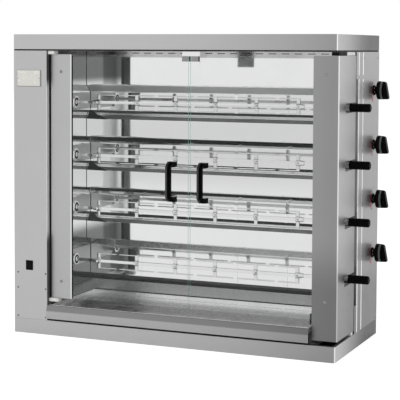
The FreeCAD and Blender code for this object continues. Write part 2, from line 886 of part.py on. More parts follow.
def drive_chain():
    # One chain over all four sprockets: two rows of side plates, and rollers on the
    # straight runs between the sprockets.
    plates = []
    left_plate = sprocket_left - chain_plate_gap - chain_plate_sheet
    right_plate = sprocket_left + sprocket_sheet + chain_plate_gap
    for x0 in (left_plate, right_plate):
        x1 = x0 + chain_plate_sheet
        outer = chain_loop(sprocket_radius + chain_plate_height / 2, x0, x1)
        plates.append(outer.cut(chain_loop(sprocket_radius - chain_plate_height / 2, x0 - 1, x1 + 1)))
    rollers = []
    clear = sprocket_radius + chain_pitch / 2
    for upper, lower in zip(spit_heights, spit_heights[1:]):
        count = int((upper - lower - 2 * clear) / chain_pitch) + 1
        middle = (upper + lower) / 2
        for number in range(count):
            height = middle + (number - (count - 1) / 2) * chain_pitch
            for side in (-1, 1):
                rollers.append(round_x(chain_roller_radius, left_plate, right_plate + chain_plate_sheet,
                                       spit_y + side * sprocket_radius, height))
    return [join(plates + rollers)]


def gear_motor():
    # Worm gearbox on the lowest drive shaft, with the motor behind it.
    height = spit_heights[-1]
    x1 = sprocket_left - shaft_tail
    x0 = x1 - gearbox_depth
    middle = (x0 + x1) / 2
    gearbox = box(x0, x1, spit_y - gearbox_half_width, spit_y + gearbox_half_width,
                  height - gearbox_half_height, height + gearbox_half_height)
    neck = round_y(motor_radius * 0.7, spit_y, spit_y + gearbox_half_width + gearbox_gap, middle, height)
    motor_front = spit_y + gearbox_half_width + gearbox_gap
    body = round_y(motor_radius, motor_front, motor_front + motor_length, middle, height)
    terminal = box(middle - motor_box / 2, middle + motor_box / 2, motor_front + motor_box / 2,
                   motor_front + 2 * motor_box, height, height + motor_radius + motor_box / 3)
    unit = join([gearbox, neck, body, terminal])
    bore = round_x(shaft_radius + running_clearance, x0 - 1, x1 + 1, spit_y, height)
    return [unit.cut(bore)]


def motor_bracket():
    # Cradle under the motor, screwed to the housing side of the chamber wall.
    height = spit_heights[-1]
    x1 = sprocket_left - shaft_tail
    middle = x1 - gearbox_depth / 2
    y0 = spit_y + gearbox_half_width + gearbox_gap + motor_length - bracket_width
    y1 = y0 + bracket_width - gearbox_gap
    cradle = box(middle - motor_radius, wall_outer, y0, y1, height - motor_radius - bracket_sheet,
                 height - motor_radius / 2)
    flange = box(wall_outer - bracket_sheet, wall_outer, y0, y1, height - motor_radius - bracket_sheet,
                 height + motor_radius)
    seat = round_y(motor_radius + seat_gap, y0 - 1, y1 + 1, middle, height)
    return [join([cradle, flange]).cut(seat)]


def burners():
    tubes = []
    for y, height in burner_places:
        tube = round_x(burner_radius, wall_inner, manifold_left - injector_length + injector_entry, y, height)
        bore = round_x(burner_radius - burner_sheet, wall_inner + burner_sheet, manifold_left, y, height)
        ports = []
        count = int((post_inner - wall_inner - 2 * port_pitch) / port_pitch)
        for number in range(count):
            x = wall_inner + port_pitch + number * port_pitch
            ports.append(box(x, x + port_length, y - port_width / 2, y + port_width / 2, height,
                             height + burner_radius + 1))
        tubes.append(tube.cut([bore] + ports))
    return tubes


def gas_manifold():
    # Square feed tube behind the valves, with a branch pipe to each burner's injector.
    y0 = knob_y - manifold_side / 2
    y1 = knob_y + manifold_side / 2
    top = knob_heights[0] + valve_height / 2
    outer = box(manifold_left, manifold_right, y0, y1, manifold_low, top)
    inner = box(manifold_left + manifold_wall, manifold_right - manifold_wall, y0 + manifold_wall,
                y1 - manifold_wall, manifold_low + manifold_wall, top - manifold_wall)
    solids = [outer.cut(inner)]
    pipe_x = manifold_right + valve_depth / 2
    for level, (burner_y, burner_height) in enumerate(burner_places):
        burner_end = manifold_left - injector_length
        corners = [(pipe_x, knob_y, knob_heights[level] - valve_height / 2), (pipe_x, knob_y, burner_height),
                   (pipe_x, burner_y, burner_height), (burner_end, burner_y, burner_height)]
        pieces = [round_x(injector_radius, burner_end, burner_end + injector_length, burner_y, burner_height)]
        for start, end in zip(corners, corners[1:]):
            run = vector(*end) - vector(*start)
            pieces.append(Part.makeCylinder(pipe_radius, run.Length, vector(*start), run))
        for x, y, z in corners[1:3]:
            half = elbow_side / 2
            pieces.append(box(x - half, x + half, y - half, y + half, z - half, z + half))
        solids.append(join(pieces))
    return solids


def gas_valves():
    valves = []
    for height in knob_heights:
        body = box(manifold_right, manifold_right + valve_depth, knob_y - valve_side / 2,
                   knob_y + valve_side / 2, height - valve_height / 2, height + valve_height / 2)
        nose = round_x(valve_nose_radius, manifold_right + valve_depth, right - panel_sheet - seat_gap,
                       knob_y, height)
        bore = round_x(stem_radius + running_clearance, manifold_right + valve_gap, right, knob_y, height)
        valves.append(join([body, nose]).cut(bore))
    return valves


def stem_section(radius, flat, x0, x1, height):
    return round_x(radius, x0, x1, knob_y, height).cut(
        box(x0 - 1, x1 + 1, knob_y - radius - 1, knob_y + radius + 1, height + flat, height + radius + 1))


def valve_stem(height):
    # Round in the tap, with a flat from where the pushed-in knob reaches.
    flat_start = right + knob_gap - knob_push - seat_gap
    inside = round_x(stem_radius, manifold_right + valve_gap + seat_gap, flat_start, knob_y, height)
    outside = stem_section(stem_radius, stem_flat, flat_start, right + knob_gap + stem_in_knob, height)
    return [join([inside, outside])]


def knob(height):
    # Round skirt on a boss, with a wedge-shaped bar that stands higher at its lower end.
    boss_left = right + knob_gap
    skirt_left = boss_left + knob_boss_length
    face = skirt_left + knob_skirt_length
    boss = round_x(knob_boss_radius, boss_left, skirt_left, knob_y, height)
    skirt = cone_x(knob_radius, knob_face_radius, skirt_left, face, knob_y, height)
    low = height - knob_radius + 1
    high = height + knob_radius - 1
    profile = [(skirt_left + knob_push, low), (skirt_left + knob_bar_low_reach, low),
               (skirt_left + knob_bar_high_reach, high), (skirt_left + knob_push, high)]
    bar = prism_y(profile, knob_y - knob_bar_width / 2, knob_y + knob_bar_width / 2)
    bore = stem_section(stem_radius + running_clearance, stem_flat + running_clearance, boss_left - 1,
                        boss_left + stem_in_knob + knob_push + seat_gap, height)
    return [join([boss, skirt, bar]).cut(bore)]


def gas_inlet():
    # Pipe from the manifold through the rear sheet, held by a nut on each side of it,
    # with the threaded end for the supply behind the outer nut.
    x = (manifold_left + manifold_right) / 2
    y0 = knob_y + manifold_side / 2
    thread_start = back + inlet_nut_depth
    end = thread_start + inlet_length
    pipe = round_y(inlet_pipe_radius, y0, thread_start, x, inlet_height)
    thread = round_y(inlet_radius, thread_start, end, x, inlet_height)
    inner_nut = cover_inner_back - inlet_nut_depth
    nuts = [hexagon_y(inlet_nut_radius, back, thread_start, x, inlet_height),
            hexagon_y(inlet_nut_radius, inner_nut, cover_inner_back, x, inlet_height)]
    bore = round_y(inlet_pipe_radius - manifold_wall, y0 - 1, end + 1, x, inlet_height)
    return [join([pipe, thread] + nuts).cut(bore)]


def cable_gland():
    x = left + gland_from_left
    y0 = cover_inner_back - gland_inside
    y1 = back + gland_reach
    body = round_y(gland_thread_radius, y0, y1, x, gland_height)
    flange = hexagon_y(gland_flange_radius, back, back + gland_inside / 2, x, gland_height)
    nut = hexagon_y(gland_flange_radius, y0 + gland_inside / 2, cover_inner_back, x, gland_height)
    bore = round_y(gland_bore_radius, y0 - 1, y1 + 1, x, gland_height)
    return [join([body, flange, nut]).cut(bore)]


def switch_body():
    x = left + switch_from_left
    face = front - switch_bezel_depth
    bezel = box(x - switch_bezel_width / 2, x + switch_bezel_width / 2, face, front,
                switch_height - switch_bezel_height / 2, switch_height + switch_bezel_height / 2)
    body = box(x - switch_body_width / 2, x + switch_body_width / 2, face, front + switch_body_depth,
               switch_height - switch_body_height / 2, switch_height + switch_body_height / 2)
    well_width = rocker_width / 2 + rocker_gap
    well_height = rocker_height / 2 + rocker_gap
    well = box(x - well_width, x + well_width, face - 1, front + switch_body_depth / 2,
               switch_height - well_height, switch_height + well_height)
    reach = well_width + rocker_pivot_reach
    pivot = round_x(rocker_pivot_radius + running_clearance, x - reach, x + reach,
                    face + rocker_pivot_depth, switch_height)
    return [join([bezel, body]).cut([well, pivot])]


def switch_rocker():
    # Seen from the side the rocker is a shallow V that tips on a pivot in the well.
    x = left + switch_from_left
    face = front - switch_bezel_depth
    rise = math.tan(math.radians(rocker_tilt)) * rocker_height / 2
    half = rocker_height / 2 - 1
    low = switch_height - half
    high = switch_height + half
    outline = [(face + rise, low), (face - 1, switch_height), (face - 1 - rise, high),
               (face + 5, high), (face + 9, switch_height), (face + 5, low)]
    rocker = prism_x(outline, x - rocker_width / 2, x + rocker_width / 2)
    reach = rocker_width / 2 + rocker_pivot_reach
    pivot = round_x(rocker_pivot_radius, x - reach, x + reach, face + rocker_pivot_depth, switch_height)
    return [join([rocker, pivot])]


def badge_plate():
    x = left + badge_from_left
    return [box(x - badge_width / 2, x + badge_width / 2, front - badge_sheet, front,
                badge_height - badge_tall / 2, badge_height + badge_tall / 2)]


def cover_screws():
    screws = []
    for x, height in housing_screw_places():
        screws.append(join([round_y(cover_screw_radius, front - cover_screw_head, front, x, height),
                            round_y(cover_screw_shank, front, front + 4 * panel_sheet, x, height)]))
    for y, height in side_screw_places():
        screws.append(join([round_x(cover_screw_radius, right, right + cover_screw_head, y, height),
                            round_x(cover_screw_shank, right - 4 * panel_sheet, right, y, height)]))
    return screws


os.makedirs("parts", exist_ok=True)

export("base_pan", base_pan())
export("top_cap", top_cap())
export("ceiling_plate", ceiling_plate())
export("left_cover", left_cover())
export("left_wall", left_wall())
export("back_cover", back_cover())
export("right_frame", right_frame())
export("right_cover", right_cover())
export("gas_partition", gas_partition())
export("back_reflectors", back_reflectors())
export("reflector_straps", reflector_straps())
export("drip_skirts", drip_skirts())
export("tray_runners", tray_runners())
export("drip_tray", drip_tray())
export("spit_rest", spit_rest())
export("door_bushes", door_bushes())
export("door_catch", door_catch())
export("badge_plate", badge_plate())
export("cover_screws", cover_screws())
export("switch_body", switch_body())
export("switch_rocker", switch_rocker())
export("cable_gland", cable_gland())

export("left_door_glass", glass(left_strip_left + glass_inset, left_glass_edge, left_strip_screws(), -1))
export("left_door_strip", left_strip())
export("left_door_handle", handle(-1))
export("left_door_screws", door_screws(left_strip_screws(), -1))
export("left_door_strike", strike(left_glass_edge - strike_width))
export("right_door_glass", glass(right_glass_edge, right - glass_inset, right_strip_screws(), 1))
export("right_door_strip", right_strip())
export("right_door_handle", handle(1))
export("right_door_screws", door_screws(right_strip_screws(), 1))
export("right_door_strike", strike(right_glass_edge))

export("drive_bearings", drive_bearings())
export("drive_chain", drive_chain())
export("gear_motor", gear_motor())
export("motor_bracket", motor_bracket())
export("burners", burners())
export("gas_manifold", gas_manifold())
export("gas_valves", gas_valves())
export("gas_inlet", gas_inlet())

for level in range(spit_count):
    number = str(level + 1)
    export("drive_shaft_" + number, drive_shaft(level))
    export("spit_rod_" + number, spit_rod(spit_heights[level]))
    export("spit_forks_" + number, spit_forks(spit_heights[level]))
    export("valve_stem_" + number, valve_stem(knob_heights[level]))
    export("knob_" + number, knob(knob_heights[level]))
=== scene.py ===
import bmesh
import bpy
import math
from mathutils import Matrix, Vector


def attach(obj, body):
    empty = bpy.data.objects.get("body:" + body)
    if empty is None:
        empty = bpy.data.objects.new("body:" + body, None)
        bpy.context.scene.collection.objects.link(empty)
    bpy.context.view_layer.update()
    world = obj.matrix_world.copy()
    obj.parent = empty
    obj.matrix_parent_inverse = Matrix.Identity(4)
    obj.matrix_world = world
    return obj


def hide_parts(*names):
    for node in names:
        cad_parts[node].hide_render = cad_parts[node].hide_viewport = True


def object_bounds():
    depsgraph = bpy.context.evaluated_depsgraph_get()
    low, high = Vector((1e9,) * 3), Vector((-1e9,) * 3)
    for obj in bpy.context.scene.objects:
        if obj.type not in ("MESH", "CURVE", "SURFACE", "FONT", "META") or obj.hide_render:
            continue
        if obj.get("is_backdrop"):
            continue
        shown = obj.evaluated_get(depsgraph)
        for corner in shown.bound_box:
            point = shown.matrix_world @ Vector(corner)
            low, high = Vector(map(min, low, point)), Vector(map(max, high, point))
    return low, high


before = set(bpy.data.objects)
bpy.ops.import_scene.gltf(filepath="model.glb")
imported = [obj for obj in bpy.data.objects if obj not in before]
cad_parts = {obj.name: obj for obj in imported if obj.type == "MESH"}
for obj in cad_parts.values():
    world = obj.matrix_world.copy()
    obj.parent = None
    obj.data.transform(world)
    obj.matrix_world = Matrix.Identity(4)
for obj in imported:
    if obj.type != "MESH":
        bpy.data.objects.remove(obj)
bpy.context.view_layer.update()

# Camera. It stands to the right of the machine, a little lower than its top, and looks
# slightly down. The lens is shifted down, so that the upright edges stay nearly upright.
yaw = math.radians(22.918)
pitch = math.radians(3.004)
roll = math.radians(0.216)
standpoint = (1.745, -4.099, 0.969)
ahead = Vector((-math.sin(yaw) * math.cos(pitch), math.cos(yaw) * math.cos(pitch), -math.sin(pitch)))
level = Vector((math.cos(yaw), math.sin(yaw), 0))
above = level.cross(ahead)
across = level * math.cos(roll) + above * math.sin(roll)
upward = across.cross(ahead)
camera = bpy.data.objects.new("camera", bpy.data.cameras.new("camera"))
bpy.context.scene.collection.objects.link(camera)
bpy.context.scene.camera = camera
camera.data.lens = 118.4
camera.data.sensor_width = 36.0
camera.data.shift_x = 0.0015
camera.data.shift_y = -0.206
camera.data.clip_end = 100
turn = Matrix((across, upward, -ahead)).transposed().to_4x4()
camera.matrix_world = Matrix.Translation(standpoint) @ turn
bpy.context.scene.view_settings.view_transform = "Standard"


# The room. A pale floor without an edge in view, an even white sky and three soft lamps,
# as in a studio for catalogue pictures.
class Wire:
    """An output of a finish that can be reckoned with like a number."""

    def __init__(self, finish, socket):
        self.finish = finish
        self.socket = socket

    def reckon(self, operation, first, second):
        return self.finish.node("Math", {0: first, 1: second}, operation=operation)

    def __add__(self, other):
        return self.reckon("ADD", self, other)

    __radd__ = __add__

    def __sub__(self, other):
        return self.reckon("SUBTRACT", self, other)

    def __rsub__(self, other):
        return self.reckon("SUBTRACT", other, self)

    def __mul__(self, other):
        return self.reckon("MULTIPLY", self, other)

    __rmul__ = __mul__

    def __pow__(self, other):
        return self.reckon("POWER", self, other)


class Finish:
    """The node tree of a material or of the sky, built up node by node."""

    def __init__(self, owner):
        owner.use_nodes = True
        self.owner = owner
        self.tree = owner.node_tree
        self.tree.nodes.clear()

    def node(self, kind, sockets=None, output=0, stops=None, **settings):
        made = self.tree.nodes.new("ShaderNode" + kind)
        for name, value in settings.items():
            setattr(made, name, value)
        if stops:
            ramp = made.color_ramp.elements
            while len(ramp) < len(stops):
                ramp.new(1)
            for element, (place, grey) in zip(ramp, stops):
                element.position = place
                element.color = (grey, grey, grey, 1)
        for name, value in (sockets or {}).items():
            self.feed(made.inputs[name], value)
        return Wire(self, made.outputs[output]) if made.outputs else None

    def feed(self, socket, value):
        if isinstance(value, Wire):
            self.tree.links.new(value.socket, socket)
        else:
            socket.default_value = value

    def noise(self, place, scale, detail, **more):
        """Cloudy blotches, about so many to the metre."""
        return self.node("TexNoise", {"Vector": place, "Scale": scale, "Detail": detail, **more})

    def span(self, value, start, end, low=0.0, high=1.0, shape="LINEAR"):
        """Runs from low to high while a value runs from start to end."""
        limits = {"From Min": start, "From Max": end, "To Min": low, "To Max": high}
        return self.node("MapRange", {"Value": value, **limits}, interpolation_type=shape)

    def mix(self, share, first, second):
        """A colour between two others."""
        return self.node("Mix", {"Factor": share, 6: first, 7: second}, output=2, data_type="RGBA")


def material(name):
    """A new material, and the place on the piece that its patterns follow."""
    made = Finish(bpy.data.materials.new(name))
    return made, made.node("TexCoord", output="Object")


sky = Finish(bpy.data.worlds.new("sky"))
bpy.context.scene.world = sky.owner
seen = sky.node("LightPath", output="Is Camera Ray")
mirrored = sky.node("LightPath", output="Is Glossy Ray")
through = sky.node("LightPath", output="Is Transmission Ray")
plain = sky.node("Math", {0: seen + mirrored + through, 1: 1.0}, operation="MINIMUM")
sky_light = sky.node("Background", {"Color": (1, 1, 1, 1), "Strength": 0.62 + plain * 0.38})
sky.node("OutputWorld", {"Surface": sky_light})

lamps = (
    ("front_left_lamp", (-2.6, -3.2, 2.6), 2.6, 34.0),
    ("front_right_lamp", (2.4, -2.4, 2.2), 1.8, 14.0),
    ("top_lamp", (0.0, 0.2, 3.4), 2.4, 22.0),
)
chamber_middle = Vector((0, 0, 0.5))
for name, place, size, power in lamps:
    lamp = bpy.data.objects.new(name, bpy.data.lights.new(name, "AREA"))
    bpy.context.scene.collection.objects.link(lamp)
    lamp.data.size = size
    lamp.data.energy = power
    aim = (chamber_middle - Vector(place)).to_track_quat("-Z", "Y").to_matrix().to_4x4()
    lamp.matrix_world = Matrix.Translation(place) @ aim
    lamp.visible_glossy = False

floor_reach = 20
ground = bmesh.new()
bmesh.ops.create_grid(ground, x_segments=1, y_segments=1, size=floor_reach)
ground_mesh = bpy.data.meshes.new("floor")
ground.to_mesh(ground_mesh)
ground.free()
floor = bpy.data.objects.new("floor", ground_mesh)
bpy.context.scene.collection.objects.link(floor)
pale, place = material("pale_floor")
cloud = pale.noise(place, 0.7, 2.0)
shade = 0.55 + cloud * 0.03
paper = pale.node("CombineColor", {0: shade, 1: shade, 2: shade})
paper = pale.node("BsdfDiffuse", {"Color": paper})
looked_at = pale.node("LightPath", output="Is Camera Ray")
glow = pale.node("Emission", {"Color": (1, 1, 1, 1), "Strength": 0.46 + looked_at * 0.28})
pale.node("OutputMaterial", {"Surface": pale.node("AddShader", {0: paper, 1: glow})})
ground_mesh.materials.append(pale.owner)
floor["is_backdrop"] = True


# Cap. A shallow box of ground stainless sheet, welded at the corners and open below,
# with a lip turned in along its lower edge.
machine_width, machine_depth, machine_height = 1140, 480, 1015
rim_height = 50
frame_sheet = 1.5


def at(x, y, z):
    """A place, given in millimetres from the machine's left side, its front and the floor."""
    return Vector((x - machine_width / 2, y - machine_depth / 2, z)) / 1000


def block(low, high):
    """A square block between two corners."""
    mesh = bmesh.new()
    size = at(*high) - at(*low)
    middle = (at(*high) + at(*low)) / 2
    place = Matrix.Translation(middle) @ Matrix.Diagonal((*size, 1))
    bmesh.ops.create_cube(mesh, size=1, matrix=place)
    return mesh


def ease(mesh, radius, edges=None, segments=3):
    """Rounds edges to a radius in millimetres: all of them, unless some are given."""
    bmesh.ops.bevel(mesh, geom=mesh.edges[:] if edges is None else edges, offset=radius / 1000,
                    segments=segments, affect="EDGES", profile=0.5, material=-1, clamp_overlap=True)
    return mesh


def uprights(mesh):
    """The edges that stand upright."""
    return [edge for edge in mesh.edges if (edge.verts[0].co - edge.verts[1].co).xy.length < 1e-6]


def levels(mesh):
    """The edges that lie level."""
    return [edge for edge in mesh.edges if abs(edge.verts[0].co.z - edge.verts[1].co.z) < 1e-6]


def facing(mesh, direction):
    """The faces that look in one direction."""
    mesh.normal_update()
    return [face for face in mesh.faces if face.normal.dot(Vector(direction)) > 0.99]


def piece(name, mesh, finish, body, stands_for=(), wall=0, sharp=38, mirrored=True):
    """Makes a mesh a piece of the machine: its finish, its sheet thickness, what it rides on
    and whether the bright sheets mirror it."""
    mesh.normal_update()
    for face in mesh.faces:
        face.smooth = True
    for edge in mesh.edges:
        edge.smooth = edge.is_manifold and edge.calc_face_angle(0) < math.radians(sharp)
    data = bpy.data.meshes.new(name)
    mesh.to_mesh(data)
    mesh.free()
    for one in finish if isinstance(finish, tuple) else (finish,):
        data.materials.append(one.owner)
    made = bpy.data.objects.new(name, data)
    bpy.context.scene.collection.objects.link(made)
    if wall:
        sheet = made.modifiers.new("sheet", "SOLIDIFY")
        sheet.material_offset = len(data.materials) - 1
        sheet.thickness = wall / 1000
        sheet.offset = -1
        sheet.use_even_offset = True
    shading = made.modifiers.new("shading", "WEIGHTED_NORMAL")
    shading.keep_sharp = True
    made.visible_glossy = mirrored
    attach(made, body)
    if stands_for:
        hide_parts(*stands_for)
    return made


def surface(finish, **sockets):
    """Ends a finish in one shader with these socket values or wires."""
    names = {name.replace("_", " "): value for name, value in sockets.items()}
    shader = finish.node("BsdfPrincipled", names)
    finish.node("OutputMaterial", {"Surface": shader})
    return finish


def ground_steel(name, tone, grain, roughness=0.36, side=(0.75, 0.75), foot=(0.0, 0.1, 1.0, 1.0),
                 corner=-1.0):
    """Stainless sheet with the fine scratches of belt grinding. Grain holds how fast the
    scratches change along x, y and z, in changes per metre. The colour is darker towards the
    right, as painted shade. Side holds how bright its right side is at the front and at the
    back, as painted shade. Foot holds two heights, and how bright the sheet is below the first
    and above the second, as painted shade. In front of corner, the bend at the right carries a
    painted highlight."""
    steel, place = material(name)
    x, y, z = (steel.node("SeparateXYZ", {0: place}, output=axis) for axis in "XYZ")
    stretched = steel.node("Mapping", {"Vector": place, "Scale": grain})
    scratches = steel.noise(stretched, 1.0, 5.0, Roughness=0.65)
    clouds = steel.noise(place, 4.5, 4.0, Roughness=0.6)
    smears = steel.noise(place, 17.0, 6.0, Distortion=1.2)
    wiped = steel.node("ValToRGB", {"Fac": smears}, stops=((0.42, 0), (0.7, 1)))
    # Painted shade: darker towards the right, a set brightness on the right side from front to back, and a
    # ramp at the foot. Painted highlight: the right front bend.
    front = 0.92 - (steel.span(x, -0.37, 0.55) ** 2.6) * 0.35
    painted_side_shade = steel.span(y, -0.25, 0.14, *side, "SMOOTHSTEP")
    turned_side = steel.span(x, 0.5688, 0.5697)
    low, high, dull, full = foot
    rise = steel.span(z, low, high, dull, full, "SMOOTHSTEP")
    painted_bend_highlight = steel.span(x, 0.5665, 0.5675) * steel.span(y, corner, corner - 0.0006)
    grey = tone + (scratches - 0.5) * 0.05 + (clouds - 0.5) * 0.05
    grey = grey * rise * (front + (painted_side_shade - front) * turned_side + painted_bend_highlight)
    colour = steel.node("CombineColor", {0: grey, 1: grey * 1.002, 2: grey})
    bump = steel.node("Bump", {"Strength": 0.22, "Distance": 0.00006, "Height": scratches})
    rough = roughness + (scratches - 0.5) * 0.14 + (clouds - 0.5) * 0.1 + wiped * 0.035
    return surface(steel, Base_Color=colour, Metallic=1.0, Roughness=rough, Normal=bump)


lengthways = (5, 5, 900)
front_bend = -0.237
# Painted shade: darker towards the right and much darker along the right side towards the back; a painted
# highlight on the front right bend.
cap_steel = ground_steel("cap_steel", 0.57, lengthways, side=(0.87, 0.19), corner=front_bend)
cap = block((0, 0, machine_height - rim_height), (machine_width, machine_depth, machine_height))
ease(cap, 3, uprights(cap), 4)
ease(cap, 0.8, levels(cap), 3)
under = facing(cap, (0, 0, -1))
lip_width = 13.6
bmesh.ops.inset_region(cap, faces=under, thickness=lip_width / 1000, use_even_offset=True)
bmesh.ops.delete(cap, geom=under, context="FACES")
piece("cap", cap, cap_steel, "frame", ["top_cap"], wall=frame_sheet)


# Ceiling board. It closes the chamber under the cap, and stops short of its edges. A black
# seal fills the joint in front and at both sides, as painted shade in that joint. The board
# is polished like the rest of the chamber.
def polished_steel(name, tone, roughness, wave=0.5, haze=0.1, darkening=(0.0, 0.0), brushed=0.0):
    """Bright rolled sheet, slightly wavy, with the smears that hot grease and cloths leave.
    Darkening holds how much darker it is near the top and near the foot, and brushed how much
    rougher it is near the front of the machine."""
    steel, place = material(name)
    depth, height = (steel.node("SeparateXYZ", {0: place}, output=axis) for axis in "YZ")
    drawn = steel.node("Mapping", {"Vector": place, "Scale": (1.2, 5.0, 7.0)})
    waves = steel.noise(drawn, 1.0, 2.0)
    smears = steel.noise(place, 9.0, 7.0, Distortion=1.5)
    wiped = steel.node("ValToRGB", {"Fac": smears}, stops=((0.45, 0), (0.72, 1)))
    fine = steel.noise(place, 420.0, 3.0)
    top_darkening = steel.span(height, 0.83, 0.87, 0.0, darkening[0], "SMOOTHSTEP")
    foot_darkening = steel.span(height, 0.31, 0.36, darkening[1], 0.0, "SMOOTHSTEP")
    near = steel.span(depth, -0.08, -0.095, 0.0, brushed)
    grey = tone - wiped * haze * 0.3 + (fine - 0.5) * 0.03
    grey = grey * (1 - top_darkening) * (1 - foot_darkening)
    colour = steel.node("CombineColor", {0: grey, 1: grey * 1.003, 2: grey * 1.002})
    bump = steel.node("Bump", {"Strength": 1.0, "Distance": 0.001 * wave, "Height": waves})
    rough = roughness + wiped * haze + (fine - 0.5) * 0.02 + near
    return surface(steel, Base_Color=colour, Metallic=1.0, Roughness=rough, Normal=bump)


def dress(finish, *nodes):
    """Gives a finish to nodes that show as they come."""
    for name in nodes:
        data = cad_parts[name].data
        data.materials.clear()
        data.materials.append(finish.owner)


ceiling_steel = polished_steel("ceiling_steel", 0.72, 0.14)
dress(ceiling_steel, "ceiling_plate")


def moulded(name, colour, roughness, grain=900.0, depth=0.00008, gloss=0.5):
    """Moulded plastic or rubber with a fine grain and the faint scuffs of use."""
    plastic, place = material(name)
    pits = plastic.noise(place, grain, 3.0)
    scuffs = plastic.noise(place, 60.0, 6.0, Distortion=0.8)
    worn = plastic.node("ValToRGB", {"Fac": scuffs}, stops=((0.5, 0), (0.75, 1)))
    dark = tuple(0.9 * part for part in colour) + (1,)
    light = tuple(min(1.0, 1.12 * part + 0.002) for part in colour) + (1,)
    mixed = plastic.mix(worn, dark, light)
    bump = plastic.node("Bump", {"Strength": 0.4, "Distance": depth, "Height": pits})
    rough = roughness + worn * 0.08 + (pits - 0.5) * 0.06
    return surface(plastic, Base_Color=mixed, Roughness=rough, Normal=bump, Specular_IOR_Level=gloss)


def together(*meshes):
    """Several meshes as one."""
    whole = bmesh.new()
    for part in meshes:
        data = bpy.data.meshes.new("part")
        part.to_mesh(data)
        part.free()
        whole.from_mesh(data)
        bpy.data.meshes.remove(data)
    return whole


# Black rubber for real seals and tapes, and also as painted shade in gaps, corners and grooves.
black_rubber_and_shade = moulded("black_seal_and_painted_shade", (0.006, 0.006, 0.006), 0.55, 500.0, gloss=0.1)
ceiling = 960
seal_foot, seal_top = ceiling + 0.2, machine_height - rim_height - 0.2
outer, inner, side_start = 1.2, 3.9, 4
sides = [((outer, outer), (machine_width - outer, inner)),
         ((machine_width - inner, side_start), (machine_width - outer, machine_depth - outer)),
         ((outer, side_start), (inner, machine_depth - outer))]
ring = [ease(block((*low, seal_foot), (*high, seal_top)), 0.5, segments=2) for low, high in sides]
piece("cap_seal_painted_shade", together(*ring), black_rubber_and_shade, "frame")


# Base pan. The pan that the machine stands on is folded like the cap, with its deck on
# top. The deck is open below the drip tray and below the foot of the right door.
def window(mesh, low, high):
    """Cuts an opening through a sheet, between two corners."""
    low, high = at(*low), at(*high)
    for axis in range(3):
        for corner in (low, high):
            everything = mesh.verts[:] + mesh.edges[:] + mesh.faces[:]
            normal = [float(axis == other) for other in range(3)]
            bmesh.ops.bisect_plane(mesh, geom=everything, dist=1e-6, plane_co=corner, plane_no=normal)
    hole = []
    for face in mesh.faces:
        middle = face.calc_center_median()
        if all(low[axis] < middle[axis] < high[axis] for axis in range(3)):
            hole.append(face)
    bmesh.ops.delete(mesh, geom=hole, context="FACES")
    return mesh


# Painted shade: darker towards the right and much darker along the right side towards the back; a painted
# highlight on the front right bend.
base_steel = ground_steel("base_steel", 0.52, lengthways, side=(1.1, 0.19), corner=front_bend)
pan = block((0, 0, 0), (machine_width, machine_depth, rim_height))
ease(pan, 3, uprights(pan), 4)
ease(pan, 1.4, levels(pan), 3)
for low, high in (((159, 12), (1026, 334)), ((1078, 12), (1128, 160.5))):
    window(pan, (*low, rim_height - 5), (*high, rim_height + 5))
piece("base", pan, base_steel, "frame", ["base_pan"], wall=frame_sheet)


# Housing cover on the left. One sheet folded round the front corner, with the opening
# of the switch, screwed to the frame along both edges of its front.
def folded(corners, push, bend, outside):
    """A sheet bent along a row of corners and drawn out by push. Its face looks outside."""
    mesh = bmesh.new()
    row = [mesh.verts.new(at(*corner)) for corner in corners]
    edges = [mesh.edges.new(pair) for pair in zip(row, row[1:])]
    drawn = bmesh.ops.extrude_edge_only(mesh, edges=edges)["geom"]
    far = [item for item in drawn if isinstance(item, bmesh.types.BMVert)]
    bmesh.ops.translate(mesh, verts=far, vec=Vector(push) / 1000)
    bends = [edge for edge in mesh.edges if len(edge.link_faces) == 2]
    if bends:
        ease(mesh, bend, bends, 4)
    mesh.normal_update()
    looks = sum((face.normal * face.calc_area() for face in mesh.faces), Vector())
    if looks.dot(Vector(outside)) < 0:
        bmesh.ops.reverse_faces(mesh, faces=mesh.faces[:])
    return mesh


def round_switch(width, height, front, back):
    """The corners of a block round the middle of the switch, between two depths."""
    low = (switch_x - width / 2, front, switch_z - height / 2)
    return low, (switch_x + width / 2, back, switch_z + height / 2)


upright = (700, 700, 4)
housing_width = 127
switch_x, switch_z = 59.5, 233
cover_sheet = 1.2
cover_back = machine_depth - cover_sheet
cover_rise = (0, 0, ceiling - rim_height)
# Painted shade: slightly darker near the foot.
housing_steel = ground_steel("housing_steel", 0.56, upright, foot=(0.0, 0.8, 0.97, 1.0))
row = [(0, cover_back, rim_height), (0, 0, rim_height), (housing_width, 0, rim_height)]
housing = folded(row, cover_rise, 2.5, (-1, -1, 0))
window(housing, *round_switch(22, 28, -5, 5))
piece("housing_cover", housing, housing_steel, "frame", ["left_cover"], wall=cover_sheet)

# Chamber wall on the left and partition on the right. Bright sheets without folds, with
# holes for the drive shafts and for the burners. The angled rails under the drip tray are
# of the same sheet.
# Much darker near the top and near the foot.
wall_steel = polished_steel("wall_steel", 0.93, 0.1, 0.15, 0.03, darkening=(0.84, 0.8), brushed=0.5)
dress(wall_steel, "left_wall", "gas_partition", "tray_runners")


# Rear sheet. One flat ground sheet with a row of vents near its top, held by screws
# round its edge.
def turned(outline, centre, axis, steps=40):
    """A round piece. The outline holds distances along the axis from the centre, and radii."""
    mesh = bmesh.new()
    axis = Vector(axis).normalized()
    side = axis.orthogonal().normalized()
    row = [mesh.verts.new(at(*centre) + (axis * along + side * radius) / 1000) for along, radius in outline]
    edges = [mesh.edges.new(pair) for pair in zip(row, row[1:])]
    bmesh.ops.spin(mesh, geom=row + edges, cent=at(*centre), axis=axis, dvec=(0, 0, 0),
                   angle=2 * math.pi, steps=steps, use_merge=True)
    bmesh.ops.remove_doubles(mesh, verts=mesh.verts[:], dist=1e-6)
    bmesh.ops.recalc_face_normals(mesh, faces=mesh.faces[:])
    return mesh


